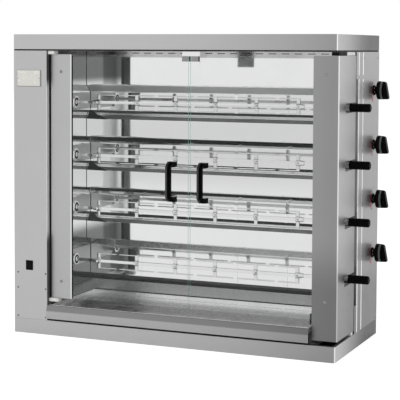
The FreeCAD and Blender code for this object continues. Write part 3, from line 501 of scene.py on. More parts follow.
rear_steel = ground_steel("rear_steel", 0.52, lengthways)
row = [(x, machine_depth, rim_height) for x in (0, machine_width)]
rear = folded(row, cover_rise, 0, (0, 1, 0))
vent_count, vent_pitch, vent_half = 10, 90, 30
vent_foot, vent_top = 914, 920
for number in range(vent_count):
    middle = machine_width / 2 + (number - (vent_count - 1) / 2) * vent_pitch
    window(rear, (middle - vent_half, machine_depth - 10, vent_foot),
           (middle + vent_half, machine_depth + 10, vent_top))
piece("rear_sheet", rear, rear_steel, "frame", ["back_cover"], wall=cover_sheet)


# Post at the right. A rectangular tube behind the slot for the spits, with a short side
# sheet above and below the slot. Both sheets are folded in where the slot ends.
# Painted shade: darker towards the right, darker on the right side, and much darker below 140 mm.
post_steel = ground_steel("post_steel", 0.53, upright, foot=(0.14, 0.34, 0.55, 1.0))
partition_face = 1066
post_front, post_back = 230, 288
tube = block((partition_face, post_front, rim_height), (machine_width, post_back, ceiling))
ease(tube, 2.5, uprights(tube), 4)
ends = facing(tube, (0, 0, 1)) + facing(tube, (0, 0, -1))
bmesh.ops.delete(tube, geom=ends, context="FACES")
side_sheets = []
slot_foot, slot_top, sheet_front, fold_width = 141, 872, 208, 10
for end, slot_edge, way in ((ceiling, slot_top, -1), (rim_height, slot_foot, 1)):
    row = [(machine_width, sheet_front, end), (machine_width, sheet_front, slot_edge),
           (machine_width - fold_width, sheet_front, slot_edge)]
    side_sheets.append(folded(row, (0, post_front + 1 - sheet_front, 0), 1.5, (1, 0, way)))
piece("right_post", together(tube, *side_sheets), post_steel, "frame", ["right_frame"],
      wall=frame_sheet)

# Edge strips. Polished steel strips run up both edges of the post as painted highlights of
# its bends, and a short plate crosses its side at the top of the slot.
edge_highlight_steel = polished_steel("edge_highlight_steel", 0.92, 0.2, 0.05, 0.05)
highlight_strips = []
for y in (post_front + 1, post_back - 8):
    strip = block((machine_width, y, rim_height + 1), (machine_width + 0.7, y + 9, ceiling - 1))
    highlight_strips.append(ease(strip, 0.3, segments=2))
bridge = block((machine_width, sheet_front - 3, slot_top + 0.5),
               (machine_width + 1.4, post_back + 2.5, slot_top + 13))
ease(bridge, 0.5, segments=2)
for face in bridge.faces:
    face.material_index = 1
piece("post_edge_highlight_strips", together(bridge, *highlight_strips), (edge_highlight_steel, post_steel), "frame")

# Cover over the gas taps, at the right rear corner. One sheet with its front edge folded
# in behind the post.
row = [(machine_width - 20, post_back, rim_height), (machine_width, post_back, rim_height),
       (machine_width, cover_back, rim_height)]
tap_cover = folded(row, cover_rise, 2, (1, -1, 0))
piece("tap_cover", tap_cover, post_steel, "frame", ["right_cover"], wall=cover_sheet)


# Back wall of the chamber. Four bright sheets, one for each spit, folded so that a recess
# lies behind the spit. Below all but the last recess the next sheet starts with a sloping
# nose, which shields the burner. The highest has a row of flue slots under the ceiling.
mirror = polished_steel("mirror_sheet", 0.765, 0.045, 0.12, 0.04)
satin = polished_steel("satin_sheet", 0.75, 0.4, 0.12, 0.1)
# A dark sheet colour for the lower face of each nose, as painted shade.
nose_shade = polished_steel("nose_painted_shade_sheet", 0.14, 0.35, 0.12, 0.1)
dull = polished_steel("dull_sheet", 0.48, 0.12, 0.12, 0.1)
spit_heights = (784, 602, 420, 238)
highest, lowest = spit_heights[0], spit_heights[-1]
flat_y, recess_y = 283, 312
wall_inside = housing_width + frame_sheet
wall_start = wall_inside + 1.5
nose_low, nose_high = 118, 131
last_foot = 165
flue_count, flue_pitch, flue_half = 19, 46, 13.5
sheets = []
for spit in spit_heights:
    if spit == highest:
        edge = [(flat_y, ceiling), (flat_y, 939)]
    else:
        edge = [(303, spit + 140), (294, spit + 139), (286, spit + 132), (flat_y, spit + 119)]
    foot = last_foot if spit == lowest else spit - 35
    edge += [(flat_y, spit + 56), (recess_y, spit + 31), (recess_y, foot)]
    row = [(wall_start, y, z) for y, z in edge]
    sheet = folded(row, (partition_face - wall_start, 0, 0), 3, (0, -1, 0))
    for face in sheet.faces:
        middle = face.calc_center_median()
        # The lower face of each nose takes the dark colour, as painted shade.
        if at(0, 0, spit + nose_low).z < middle.z < at(0, 0, spit + nose_high).z and spit != highest:
            face.material_index = 2
        if middle.z > at(0, 0, 938).z:
            face.material_index = 3
    if spit == highest:
        for face in facing(sheet, (0, -0.653, -0.757)):
            face.material_index = 1
        for number in range(flue_count):
            middle = (wall_inside + partition_face) / 2 + (number - (flue_count - 1) / 2) * flue_pitch
            window(sheet, (middle - flue_half, flat_y - 3, 951), (middle + flue_half, flat_y + 3, 953.4))
    sheets.append(sheet)
piece("back_wall", together(*sheets), (mirror, satin, nose_shade, dull), "frame",
      ["back_reflectors"], wall=cover_sheet)


# Corner plates. Small black plates at the left end of each nose, as painted shade where
# the nose meets the chamber wall.
def slab(outline, push):
    """A flat plate: an outline of places, given thickness by a push in millimetres."""
    mesh = bmesh.new()
    face = mesh.faces.new([mesh.verts.new(place) for place in outline])
    grown = bmesh.ops.extrude_face_region(mesh, geom=[face])["geom"]
    moved = [item for item in grown if isinstance(item, bmesh.types.BMVert)]
    bmesh.ops.translate(mesh, verts=moved, vec=Vector(push) / 1000)
    bmesh.ops.recalc_face_normals(mesh, faces=mesh.faces[:])
    return mesh


shade_plates = []
for spit in spit_heights[1:]:
    corners = ((131, 117), (212, 116), (170, 134), (156, 146), (141, 146))
    plate = slab([at(x, flat_y - 0.6, spit + z) for x, z in corners], (0, -0.8, 0))
    shade_plates.append(ease(plate, 0.2, segments=1))
piece("corner_shade_plates", together(*shade_plates), black_rubber_and_shade, "frame", mirrored=False)

# Straps. Narrow strips of the same bright sheet, spot-welded upright across each recess
# to stiffen it.
strap_count, strap_start, strap_pitch, strap_width = 4, 322.5, 181, 11
straps = []
for spit in spit_heights:
    foot = last_foot if spit == lowest else spit - 36
    for number in range(strap_count):
        x = strap_start + number * strap_pitch
        strap = block((x, recess_y - 1.2, foot), (x + strap_width, recess_y, spit + 29.8))
        straps.append(ease(strap, 0.35, segments=2))
piece("straps", together(*straps), mirror, "frame", ["reflector_straps"])


# Skirts. Thin sloping sheets round the foot of the chamber, which lead the fat from the
# walls into the tray.
skirt_steel = polished_steel("skirt_steel", 0.36, 0.25, 0.03, 0.05)
skirt_foot, skirt_top = 104, 141
start, backwards, along = 40, (0, 300, 0), (partition_face - wall_inside, 0, 0)
left_row = [(136.5, start, skirt_foot), (wall_inside, start, skirt_top)]
right_row = [(partition_face, start, skirt_top), (1044, start, skirt_top), (1044, start, skirt_foot)]
rear_edge = [(340, skirt_foot), (340, skirt_top - 1), (370, skirt_top - 1)]
rear_row = [(wall_inside, y, z) for y, z in rear_edge]
skirts = [folded(left_row, backwards, 1, (1, 0, 0)), folded(right_row, backwards, 2, (-1, 0, 1)),
          folded(rear_row, along, 2, (0, -1, 1))]
piece("skirts", together(*skirts), skirt_steel, "frame", ["drip_skirts"], wall=1)


# Drip tray. A shallow pan of sheet on two runners, with a rib across its floor. Its front
# is folded down nearly to the base, and leans back towards the top.
# Painted shade: the front is much darker above 85 mm, on its upper part and its lean.
front_steel = ground_steel("tray_front_steel", 0.44, (4, 500, 700), 0.3, foot=(0.08, 0.085, 1.04, 0.56))
tray_steel = polished_steel("tray_steel", 0.78, 0.27, 0.02, 0.03)
tray_floor, tray_rim, tray_lip = 86, 101, 102
tray_left, tray_right = 133, 1052
front_left, front_right = housing_width + 0.75, 1055
edge = [(-7.5, 57), (-7.5, 82), (-1.5, tray_lip), (3, tray_lip)]
fascia = folded([(front_left, y, z) for y, z in edge], (front_right - front_left, 0, 0), 2.2, (0, -1, 0))
edge = [(3, tray_lip), (10, tray_lip), (10, tray_floor), (334, tray_floor), (334, tray_rim)]
shallow = folded([(tray_left, y, z) for y, z in edge], (tray_right - tray_left, 0, 0), 2.5, (0, 1, -1))
rims = []
for x, way in ((tray_left, 1), (tray_right, -1)):
    row = [(x, 9, tray_rim), (x, 9, tray_floor), (x + 4 * way, 9, tray_floor)]
    rims.append(folded(row, (0, 325, 0), 2.5, (-way, 0, -1)))
piece("tray_front", fascia, front_steel, "drip_tray", wall=cover_sheet)
piece("tray", together(shallow, *rims), tray_steel, "drip_tray", ["drip_tray"],
      wall=cover_sheet)
# The rib takes the darker skirt sheet, as painted shade along it.
rib = block((tray_left + 7, 163, tray_floor + 1.1), (tray_right - 6, 166.5, tray_floor + 1.7))
ease(rib, 0.25, segments=2)
piece("tray_rib", rib, skirt_steel, "drip_tray")


# Spit rest. An upright rail of bright sheet with four hooked notches, in which the
# collars of the spits turn.
dress(wall_steel, "spit_rest")


# Door bushes. Blocks of white nylon at the top and foot of each door, in which the pins
# turn. A black block fills the corner above the right door, as painted shade in that corner.
white_nylon = moulded("white_nylon", (0.78, 0.78, 0.76), 0.42)
door_top, strip_foot, wing_foot = 948, 125, 62
play = 0.3
bushes = [
    block((wall_inside, 5, door_top + play), (153, 34, ceiling)),
    block((wall_inside, 10, 113), (165, 34, strip_foot - play)),
    block((1111, 108, door_top + play), (machine_width - 1, 195.5, ceiling)),
    block((1111, 177.5, rim_height), (machine_width - 1, 195.5, wing_foot - play)),
]
for bush in bushes:
    ease(bush, 1.6)
piece("bushes", together(*bushes), white_nylon, "frame", ["door_bushes"])
corner_shade = ease(block((1114, 23, door_top + 0.6), (machine_width - 1.4, 107.6, ceiling - 0.2)), 1.2)
piece("corner_shade_block", corner_shade, black_rubber_and_shade, "frame")


# Left door. A steel strip carries the hinge pins and clamps the edge of the glass. The
# strip's hinge edge is folded back, and a tab at each end holds a pin.
def hinge_pins(x, y, foot, tab_start, tab_end):
    """A tab at the foot and at the top of a door strip, each with the pin that it holds."""
    outline = [(0, 0), (0, 4), (9.2, 4), (10, 3.2), (10, 0)]
    tabs = [block((*tab_start, z), (*tab_end, z + frame_sheet)) for z in (foot, door_top - frame_sheet)]
    pins = [turned(outline, (x, y, z), (0, 0, way)) for z, way in ((door_top, 1), (foot, -1))]
    return together(*tabs, *pins)


strip_y, strip_edge = 20, 211
glass_front, glass_back = strip_y + frame_sheet, 27.5
# Painted shade: darker towards the foot.
strip_steel = ground_steel("strip_steel", 0.53, upright, foot=(0.1, 0.6, 0.92, 1.0))
inner_face = polished_steel("strip_inner_face", 0.85, 0.08, 0.1, 0.04)
edge = [(133, 30), (133, strip_y), (strip_edge, strip_y), (strip_edge, 21.4)]
row = [(x, y, strip_foot) for x, y in edge]
left_strip = folded(row, (0, 0, door_top - strip_foot), 1.3, (-1, -1, 0))
left_pins = hinge_pins(146, 25, strip_foot, (134, glass_front), (159, 30))
piece("left_strip", left_strip, (strip_steel, inner_face), "left_door",
      ["left_door_strip"], wall=frame_sheet, mirrored=False)
piece("left_pins", left_pins, strip_steel, "left_door", mirrored=False)

# Seals. A black lip on the chamber wall fills the gap beside the left door, as painted shade
# in that gap. A thin steel bead and a black tape on the glass follow the free edge of its strip.
flange_steel = polished_steel("flange_steel", 0.85, 0.25, 0.05, 0.05)
pane_foot, pane_top = 128, 945
gap_shade = ease(block((wall_inside, 14, strip_foot + 1), (131.6, 32, door_top - 1)), 0.7)
piece("gap_painted_shade", gap_shade, black_rubber_and_shade, "frame", mirrored=False)
bead = block((206.8, 19.2, strip_foot + 0.4), (strip_edge - 0.4, 20.1, door_top - 0.4))
ease(bead, 0.35, segments=2)
piece("strip_bead", bead, flange_steel, "left_door", mirrored=False)
tape = block((strip_edge, 20.2, pane_foot + 0.5), (215.5, glass_front, pane_top - 0.5))
ease(tape, 0.4, segments=2)
piece("strip_seal", tape, black_rubber_and_shade, "left_door", mirrored=False)

# Clamp. An oiled steel batten behind the glass, along its hinge edge, with a black tape
# beside it. The strip's screws pull it against the glass.
# Dark oiled steel; on the spit collars it serves as painted shade.
oiled_and_shade = polished_steel("oiled_steel_and_painted_shade", 0.32, 0.3, 0.1, 0.2)
batten_back = glass_back + 1.4
batten = block((151.2, glass_back, pane_foot + 2), (177.5, batten_back, pane_top - 2))
ease(batten, 0.4, segments=2)
piece("clamp_batten", batten, oiled_and_shade, "left_door")
backing = block((140, glass_back, pane_foot + 2), (151, 28.4, pane_top - 2))
ease(backing, 0.3, segments=2)
piece("clamp_tape", backing, black_rubber_and_shade, "left_door")

# Right door. Its strip turns the corner and runs back along the side as a wing, with a
# notch round each spit grip, to a hinge at the rear edge.
wing_back = 201
notch_half = 15.5
# Painted shade: darker near the foot and along the wing towards the back; a painted highlight on the front
# bend.
corner_steel = ground_steel("corner_steel", 0.5, upright, side=(1.0, 0.4), foot=(0.2, 0.4, 0.62, 1.0),
                            corner=-0.2172)
edge = [(1057, strip_y), (machine_width, strip_y), (machine_width, wing_back)]
row = [(x, y, wing_foot) for x, y in edge]
corner = folded(row, (0, 0, door_top - wing_foot), 2.6, (1, -1, 0))
for spit in spit_heights:
    window(corner, (machine_width - 10, 93.45, spit - notch_half),
           (machine_width + 10, wing_back + 4, spit + notch_half))
right_pins = hinge_pins(1125, 186.5, wing_foot, (1119.5, 176.5), (machine_width - 1.5, wing_back))
piece("right_strip", corner, (corner_steel, inner_face), "right_door",
      ["right_door_strip"], wall=frame_sheet)
piece("right_pins", right_pins, strip_steel, "right_door")


# Door panes. Toughened glass 6 mm thick, with ground edges that look green because
# the light runs a long way through the glass.
clear, place = material("clear_glass")
grease = clear.noise(place, 6.0, 6.0, Distortion=0.6)
film = clear.node("ValToRGB", {"Fac": grease}, stops=((0.45, 0), (0.8, 1)))
facing_weight = clear.node("Fresnel", {"IOR": 1.5})
surface(clear, Base_Color=(0.93, 0.985, 0.965, 1), Metallic=1.0, Roughness=0.015 + film * 0.03,
        Alpha=facing_weight * 0.35 + film * 0.006)
green, place = material("glass_edge")
cloudy = green.noise(place, 90.0, 3.0)
tint = green.mix(cloudy, (0.34, 0.62, 0.55, 1), (0.55, 0.8, 0.73, 1))
surface(green, Base_Color=tint, Roughness=0.22 + cloudy * 0.1, Alpha=0.62)
for side, x0, x1 in (("left", 139, 635), ("right", 642, 1134)):
    pane = block((x0, glass_front, pane_foot), (x1, glass_back, pane_top))
    ease(pane, 0.7, segments=1)
    for face in pane.faces:
        face.material_index = 1 if abs(face.normal.x) > 0.9 else 0
    piece(side + "_pane", pane, (clear, green), side + "_door", [side + "_door_glass"],
          sharp=20, mirrored=False)


# Door handles. Black moulded bows with bevelled corners, each held by two screws
# from behind the glass.
def creases(mesh, degrees):
    """The edges at which a mesh turns by more than an angle."""
    mesh.normal_update()
    return [edge for edge in mesh.edges if edge.calc_face_angle(0) > math.radians(degrees)]


# Two copies of the black: a lighter, glossier one as painted light, and a darker, duller one as painted
# shade.
black_grip = moulded("handle_black_painted_light", (0.028, 0.028, 0.0285), 0.2, 700.0, 0.00003, gloss=0.4)
handle_painted_shade = moulded("handle_black_painted_shade", (0.001, 0.001, 0.001), 0.3, 700.0, 0.00003, gloss=0.02)
handle_places = {"left": 583.5, "right": 693.5}
front, foot, top = -20.5, 474, 604
outline = [(glass_front, foot), (front + 20, foot), (front, foot + 15), (front, top - 15),
           (front + 20, top), (glass_front, top), (glass_front, top - 17), (front + 14, top - 17),
           (front + 13, top - 18), (front + 13, foot + 18), (front + 14, foot + 17),
           (glass_front, foot + 17)]
handle_screw_heights = (foot + 8.5, top - 8.5)
side_taper, front_taper = 0.0065, 0.0025
for side, x in handle_places.items():
    facet = at(x - 4, 0, 0)
    bow = slab([at(x - 12, y, z) for y, z in outline], (25, 0, 0))
    everything = bow.verts[:] + bow.edges[:] + bow.faces[:]
    bmesh.ops.bisect_plane(bow, geom=everything, dist=1e-6, plane_co=facet, plane_no=(1, 0, 0))
    for vert in bow.verts:
        if vert.co.y < at(0, -7, 0).y and at(0, 0, foot + 14).z < vert.co.z < at(0, 0, top - 14).z:
            if vert.co.x > at(x + 12, 0, 0).x:
                vert.co.x -= side_taper
            if vert.co.x < at(x - 11, 0, 0).x and vert.co.y < at(0, -20, 0).y:
                vert.co.y += front_taper
    soft = [edge for edge in creases(bow, 15) if max(vert.co.y for vert in edge.verts) < at(0, 21, 0).y]
    ease(bow, 1.6, soft, 3)
    # Faces left of the cut and near the glass take the painted light, the rest the painted shade.
    for face in bow.faces:
        middle = face.calc_center_median()
        face.material_index = 0 if middle.x < facet.x or middle.y > at(0, 4, 0).y else 1
    piece(side + "_handle", bow, (black_grip, handle_painted_shade), side + "_door",
          [side + "_door_handle"], mirrored=False)


# Door screws. Domed heads in front of the strips with nuts behind the glass, and pan heads
# behind the glass for the handles.
def nut(x, y, z, radius, height, bore, axis=(0, 1, 0)):
    """A hexagon nut that stands on a face, with chamfered corners."""
    body = bmesh.new()
    place = Matrix.Translation(at(x, y, z)) @ Vector(axis).to_track_quat("Z", "Y").to_matrix().to_4x4()
    bmesh.ops.create_circle(body, cap_ends=True, segments=6, radius=radius / 1000, matrix=place)
    grown = bmesh.ops.extrude_face_region(body, geom=body.faces[:])["geom"]
    moved = [item for item in grown if isinstance(item, bmesh.types.BMVert)]
    bmesh.ops.translate(body, verts=moved, vec=Vector(axis) * height / 1000)
    bmesh.ops.recalc_face_normals(body, faces=body.faces[:])
    ease(body, radius * 0.06, segments=2)
    stud = turned([(height * 0.3, 0), (height * 0.3, bore), (height, bore), (height, bore * 0.6),
                   (height * 0.97, 0)], (x, y, z), axis, 20)
    return together(body, stud)


bright_zinc = polished_steel("bright_zinc", 0.28, 0.24, 0.1, 0.1)
domed = [(0, 0), (0, 5), (0.6, 5), (0.9, 4.4), (1.7, 3.9), (2.3, 2.6), (2.5, 0)]
shank = [(0, 0), (0, 2.5), (4.4, 2.5), (4.4, 0)]
pan_head = [(0, 0), (0, 4.5), (1.6, 4.4), (2.6, 3.2), (3, 1.5), (3, 0)]
for side, x, nut_y in (("left", 172, batten_back), ("right", 1098.5, glass_back)):
    heads = []
    for z in (183, 890):
        heads.append(turned(domed, (x, strip_y, z), (0, -1, 0), 24))
        heads.append(turned(shank, (x, glass_back, z), (0, 1, 0), 16))
        heads.append(nut(x, nut_y, z, 5, 2.8, 2.5))
    for z in handle_screw_heights:
        heads.append(turned(pan_head, (handle_places[side], glass_back, z), (0, 1, 0), 24))
    piece(side + "_door_screw_heads", together(*heads), bright_zinc, side + "_door",
          [side + "_door_screws"], mirrored=False)


# Strikes and catch. A small plate at the top of each pane meets a magnet, and both
# magnets sit on a folded bracket below the ceiling.
strike_places = {"left": 610, "right": 642}
strike_width, strike_low, strike_high = 25, 927, 944
for side, x in strike_places.items():
    plate = block((x, glass_back, strike_low), (x + strike_width, 28.7, strike_high))
    ease(plate, 0.4, segments=2)
    piece(side + "_strike", plate, bright_zinc, side + "_door", [side + "_door_strike"])
row = [(607.5, 35, 903), (607.5, 35, ceiling), (607.5, 59, ceiling)]
bracket = folded(row, (62, 0, 0), 1.8, (0, -1, 1))
piece("catch_bracket", bracket, (mirror, oiled_and_shade), "frame", ["door_catch"], wall=frame_sheet)
magnet_grey = moulded("magnet_grey", (0.07, 0.07, 0.072), 0.5)
magnets = [ease(block((x, 29, strike_low), (x + strike_width, 35, strike_high)), 0.8)
           for x in strike_places.values()]
piece("magnets", together(*magnets), magnet_grey, "frame")


# Spit drive. A chromed hub on each drive shaft stands out of the chamber wall, with a
# socket for the square end of the spit. A rubber gasket and a steel cover plate lie
# between hub and wall, and behind the wall the shaft has a sprocket.
chrome = polished_steel("chrome", 0.95, 0.16, 0.05, 0.08)
cover_steel = polished_steel("cover_steel", 0.42, 0.3, 0.05, 0.05)
shaft_steel = polished_steel("turned_steel", 0.85, 0.4, 0.05, 0.1)
spit_y = 155
hub_x = wall_inside + 1
cover_half = 29
hub_outline = [(-1, 0), (-1, 10), (0, 10), (0, 17.4), (19, 17.4), (20, 20), (21, 20.8), (27, 20.8),
               (28, 20), (28.4, 18.8), (28.4, 15.8), (25.4, 15.2), (25.4, 9.4), (29, 9.2), (31, 8.2),
               (31.4, 7.4), (31, 7.2), (25.2, 7.2), (25.2, 0)]
for number, spit in enumerate(spit_heights, 1):
    hub = turned(hub_outline, (hub_x, spit_y, spit), (1, 0, 0), 48)
    # The floor of the groove round the socket takes the black, as painted shade in the groove.
    for face in hub.faces:
        middle = face.calc_center_median()
        reach = math.hypot(middle.y - at(0, spit_y, 0).y, middle.z - spit / 1000)
        if at(hub_x + 25, 0, 0).x < middle.x < at(hub_x + 27.8, 0, 0).x and 0.0088 < reach < 0.0158:
            face.material_index = 1
    piece("spit_hub_%d" % number, hub, (chrome, black_rubber_and_shade), "drive_%d" % number)
    angles = [math.pi * step / 24 for step in range(25)]
    rim = [(spit_y - cover_half * math.sin(angle), spit + cover_half * math.cos(angle)) for angle in angles]
    rim += [(308, spit - cover_half), (308, spit + cover_half)]
    cover = slab([at(wall_inside + 0.5, y, z) for y, z in rim], (1, 0, 0))
    gasket = block((wall_inside, 120, spit - cover_half), (wall_inside + 0.45, 150, spit + cover_half))
    ease(gasket, 0.15, segments=1)
    piece("hub_cover_%d" % number, cover, cover_steel, "frame")
    piece("hub_gasket_%d" % number, gasket, black_rubber_and_shade, "frame")
    dress(shaft_steel, "drive_shaft_%d" % number)

# Spits. A square steel rod with a turned collar that rests in the notch, and a black
# moulded grip with finger grooves outside.
spit_finish = polished_steel("spit_steel", 0.72, 0.12, 0.05, 0.08)
grip_black = moulded("black_grip", (0.002, 0.002, 0.002), 0.3, 800.0, 0.00004, gloss=0.03)
rod_start, rod_half = 133.5, 5
grip_start = machine_width - 4
collar_outline = [(0, 0), (0, 11.6), (1.4, 13), (100, 13), (102, 13), (102, 0)]
grip_outline = [(0, 0), (0, 12.6), (0.9, 13.5), (6, 13.5), (7, 12.9), (8, 13.5)]
for groove in range(9):
    start = 12 + groove * 4.6
    grip_outline += [(start, 13.5), (start + 0.9, 13.0), (start + 1.8, 13.5)]
grip_outline += [(62.2, 13.5), (64.8, 12.7), (66.2, 11.4), (67, 9.6), (67, 7.2), (66.2, 6.6), (66.2, 0)]
for number, spit in enumerate(spit_heights, 1):
    rod = block((rod_start, spit_y - rod_half, spit - rod_half),
                (grip_start + 55, spit_y + rod_half, spit + rod_half))
    ease(rod, 0.9, segments=2)
    collar = turned(collar_outline, (grip_start - 102, spit_y, spit), (1, 0, 0), 48)
    grip = turned(grip_outline, (grip_start, spit_y, spit), (1, 0, 0), 48)
    body = "spit_%d" % number
    piece("spit_%d_rod" % number, rod, spit_finish, body, ["spit_rod_%d" % number])
    # The collar takes the dark oiled finish, as painted shade where it shows in the door's notch.
    piece("spit_%d_collar" % number, collar, oiled_and_shade, body)
    piece("spit_%d_grip" % number, grip, grip_black, body)


# Forks. A flat bar with pointed prongs is clamped on the rod by a winged thumb screw. The
# outer forks have prongs on one side only, and a tapered hub on the other.
def prong(x, way, z):
    """A round prong with a drawn-out point."""
    outline = [(0, 0), (0, 2), (59, 2), (64, 1.4), (68.4, 0.6), (69, 0)]
    return turned(outline, (x, spit_y, z), (way, 0, 0), 12)


def thumb_screw(x, z):
    """A thumb screw with two wings, screwed in from the front."""
    outline = [(0, 0), (0, 3), (8.8, 3), (9.4, 4.2), (11.6, 4.2), (12.4, 3.4), (12.6, 0)]
    wings = [ease(block((x - 0.9, 137.2, z + low), (x + 0.9, 141, z + low + 5.2)), 0.8, segments=2)
             for low in (0.4, -5.6)]
    return together(turned(outline, (x, 149.6, z), (0, -1, 0), 16), *wings)


fork_steel = polished_steel("fork_steel", 0.66, 0.1, 0.05, 0.06)
fork_count, first_fork, fork_pitch = 6, 244, 144
bar_half, bar_reach, prong_reach = 6, 27, 25
hub_outline = [(-6, 6), (-6, 9.2), (-5.2, 10), (5.2, 10), (6, 9.2), (6, 6)]
taper_outline = [(6, 6), (6, 9.6), (21.4, 6.6), (22, 6.2), (22, 5.4)]
for number, spit in enumerate(spit_heights, 1):
    forks = []
    for fork in range(fork_count):
        x = first_fork + fork_pitch * fork
        bar = block((x - bar_half, spit_y - 2.5, spit - bar_reach),
                    (x + bar_half, spit_y + 2.5, spit + bar_reach))
        ease(bar, 1.3, segments=3)
        hub = turned(hub_outline, (x, spit_y, spit), (1, 0, 0), 32)
        forks += [bar, hub, thumb_screw(x, spit)]
        for way in (-1, 1):
            if fork + way in (-1, fork_count):
                forks.append(turned(taper_outline, (x, spit_y, spit), (way, 0, 0), 32))
            else:
                forks += [prong(x, way, spit + prong_reach), prong(x, way, spit - prong_reach)]
    piece("spit_%d_forks" % number, together(*forks), fork_steel, "spit_%d" % number,
          ["spit_forks_%d" % number])

# Burners. Steel tubes with slots on top, one for each spit, blued and browned by their
# own heat.
blued, place = material("blued_steel")
patches = blued.noise(place, 22.0, 5.0)
tint = blued.mix(patches, (0.05, 0.04, 0.035, 1), (0.1, 0.1, 0.11, 1))
surface(blued, Base_Color=tint, Metallic=1.0, Roughness=0.36 + patches * 0.2)
dress(blued, "burners")

# Gas tubes, taps and motor. Out of sight behind the covers: brass taps on a square steel
# tube, a painted gear motor on its bracket, and the chain.
brass, place = material("brass")
tarnish = brass.noise(place, 55.0, 5.0)
tint = brass.mix(tarnish, (0.52, 0.36, 0.13, 1), (0.74, 0.55, 0.26, 1))
surface(brass, Base_Color=tint, Metallic=1.0, Roughness=0.26 + tarnish * 0.16)
paint, place = material("motor_paint")
dimples = paint.node("TexVoronoi", {"Vector": place, "Scale": 420.0})
dust = paint.noise(place, 30.0, 4.0)
tint = paint.mix(dust, (0.1, 0.13, 0.16, 1), (0.17, 0.2, 0.23, 1))
bump = paint.node("Bump", {"Strength": 0.5, "Distance": 0.0003, "Height": dimples})
surface(paint, Base_Color=tint, Roughness=0.35 + dust * 0.1, Normal=bump)
dress(brass, "gas_valves", "valve_stem_1", "valve_stem_2", "valve_stem_3", "valve_stem_4")
dress(oiled_and_shade, "drive_chain", "motor_bracket", "gas_manifold", "drive_bearings")
dress(paint, "gear_motor")

# Gas inlet at the back. A brass union with a threaded end, held in the rear sheet by a
# nut on each side.
inlet_x, inlet_z = 1093.8, 210
nut_height = 8
nut_places = (machine_depth, cover_back - nut_height)
outline = [(-47, 7), (-47, 9), (8, 9), (8, 10.2)]
for thread in range(11):
    start = 8.6 + thread * 1.81
    outline += [(start, 9.3), (start + 0.9, 10.45)]
outline += [(29.2, 9.3), (30, 8.9), (30, 7), (-47, 7)]
union = turned(outline, (inlet_x, machine_depth, inlet_z), (0, 1, 0), 40)
rings = [nut(inlet_x, y, inlet_z, 16, nut_height, 9.2) for y in nut_places]
piece("gas_union", together(union, *rings), brass, "frame", ["gas_inlet"])

# Cable gland at the back. A black moulded gland with a ribbed dome nut, open for the
# supply cable.
black_moulding = moulded("black_moulding", (0.012, 0.012, 0.0125), 0.42, gloss=0.25)
gland_x, gland_z = 64, 140
outline = [(-16, 5), (-16, 9.4), (-15.4, 10), (9, 10), (9, 13), (10.5, 13.6), (19, 13.6), (22, 12.8),
           (25.4, 10.6), (27.4, 8), (28, 6.4), (28, 5), (-16, 5)]
gland = turned(outline, (gland_x, machine_depth, gland_z), (0, 1, 0), 40)
flanges = [nut(gland_x, y, gland_z, 15, nut_height, 10.2) for y in nut_places]
rib_count = 16
ribs = []
for number in range(rib_count):
    around = Matrix.Rotation(number * 2 * math.pi / rib_count, 3, "Y")
    rib = block((gland_x - 0.7, machine_depth + 10.5, gland_z + 12.8),
                (gland_x + 0.7, machine_depth + 19, gland_z + 14.2))
    ease(rib, 0.4, segments=2)
    bmesh.ops.rotate(rib, verts=rib.verts[:], cent=at(gland_x, machine_depth, gland_z), matrix=around)
    ribs.append(rib)
piece("gland", together(gland, *flanges, *ribs), black_moulding, "frame", ["cable_gland"])

# Knobs. Black moulded knobs on the taps: a boss, a domed skirt, and a wedge-shaped bar to
# grip, which stands higher at its lower end. Some edges carry a lighter, glossier black as
# painted highlights.
knob_black = moulded("knob_black", (0.002, 0.002, 0.002), 0.22, 700.0, 0.00003, gloss=0.04)
# A lighter, glossier black, as painted highlight.
knob_rubbed = moulded("knob_rubbed", (0.05, 0.05, 0.052), 0.18, 700.0, 0.00003)
knob_x, knob_y = machine_width + 4, 422
knob_heights = [spit + 48 for spit in spit_heights]
skirt_outline = [(0, 4.6), (0, 12.2), (0.8, 13), (7.4, 13), (8, 14), (8.2, 27), (9.4, 29.6), (12, 30.6),
                 (15, 30.9), (22, 29.8), (26, 28.6), (27.4, 27), (28, 24.6), (28, 0)]
for number, z in enumerate(knob_heights, 1):
    skirt = turned(skirt_outline, (knob_x, knob_y, z), (1, 0, 0), 64)
    sides = [(knob_x + 16, z - 30.2), (knob_x + 49, z - 29.4), (knob_x + 38.4, z + 28.4),
             (knob_x + 16, z + 30.2)]
    bar = slab([at(x, knob_y - 9, height) for x, height in sides], (0, 18, 0))
    for vert in bar.verts:
        if vert.co.x > at(knob_x + 21, 0, 0).x:
            vert.co.y += (at(0, knob_y, 0).y - vert.co.y) * 0.34
    ends = [edge for edge in bar.edges if abs(edge.verts[0].co.y - edge.verts[1].co.y) > 0.005]
    ease(bar, 6.5, ends, 6)
    ease(bar, 2.4, creases(bar, 30), 3)
    bar.normal_update()
    # The bar's faces turned out to the right and the rim of the skirt take the painted highlight.
    for face in bar.faces:
        highlight_face = face.normal.x > 0.3 and abs(face.normal.y) > 0.3
        face.material_index = int(highlight_face and abs(face.normal.z) < 0.45)
    for face in skirt.faces:
        middle = face.calc_center_median()
        face.material_index = int(at(knob_x + 22, 0, 0).x < middle.x < at(knob_x + 27.5, 0, 0).x)
    piece("knob_body_%d" % number, together(skirt, bar), (knob_black, knob_rubbed), "knob_%d" % number,
          ["knob_%d" % number])

# Knob seats. A black moulded ring on the cover round the foot of each knob, over the
# hole for the stem.
seat_outline = [(0, 13.8), (0, 17.4), (2.2, 17), (3.2, 15.4), (3.2, 13.8), (0, 13.8)]
seats = [turned(seat_outline, (machine_width, knob_y, z), (1, 0, 0), 48) for z in knob_heights]
piece("knob_seats", together(*seats), knob_black, "frame")

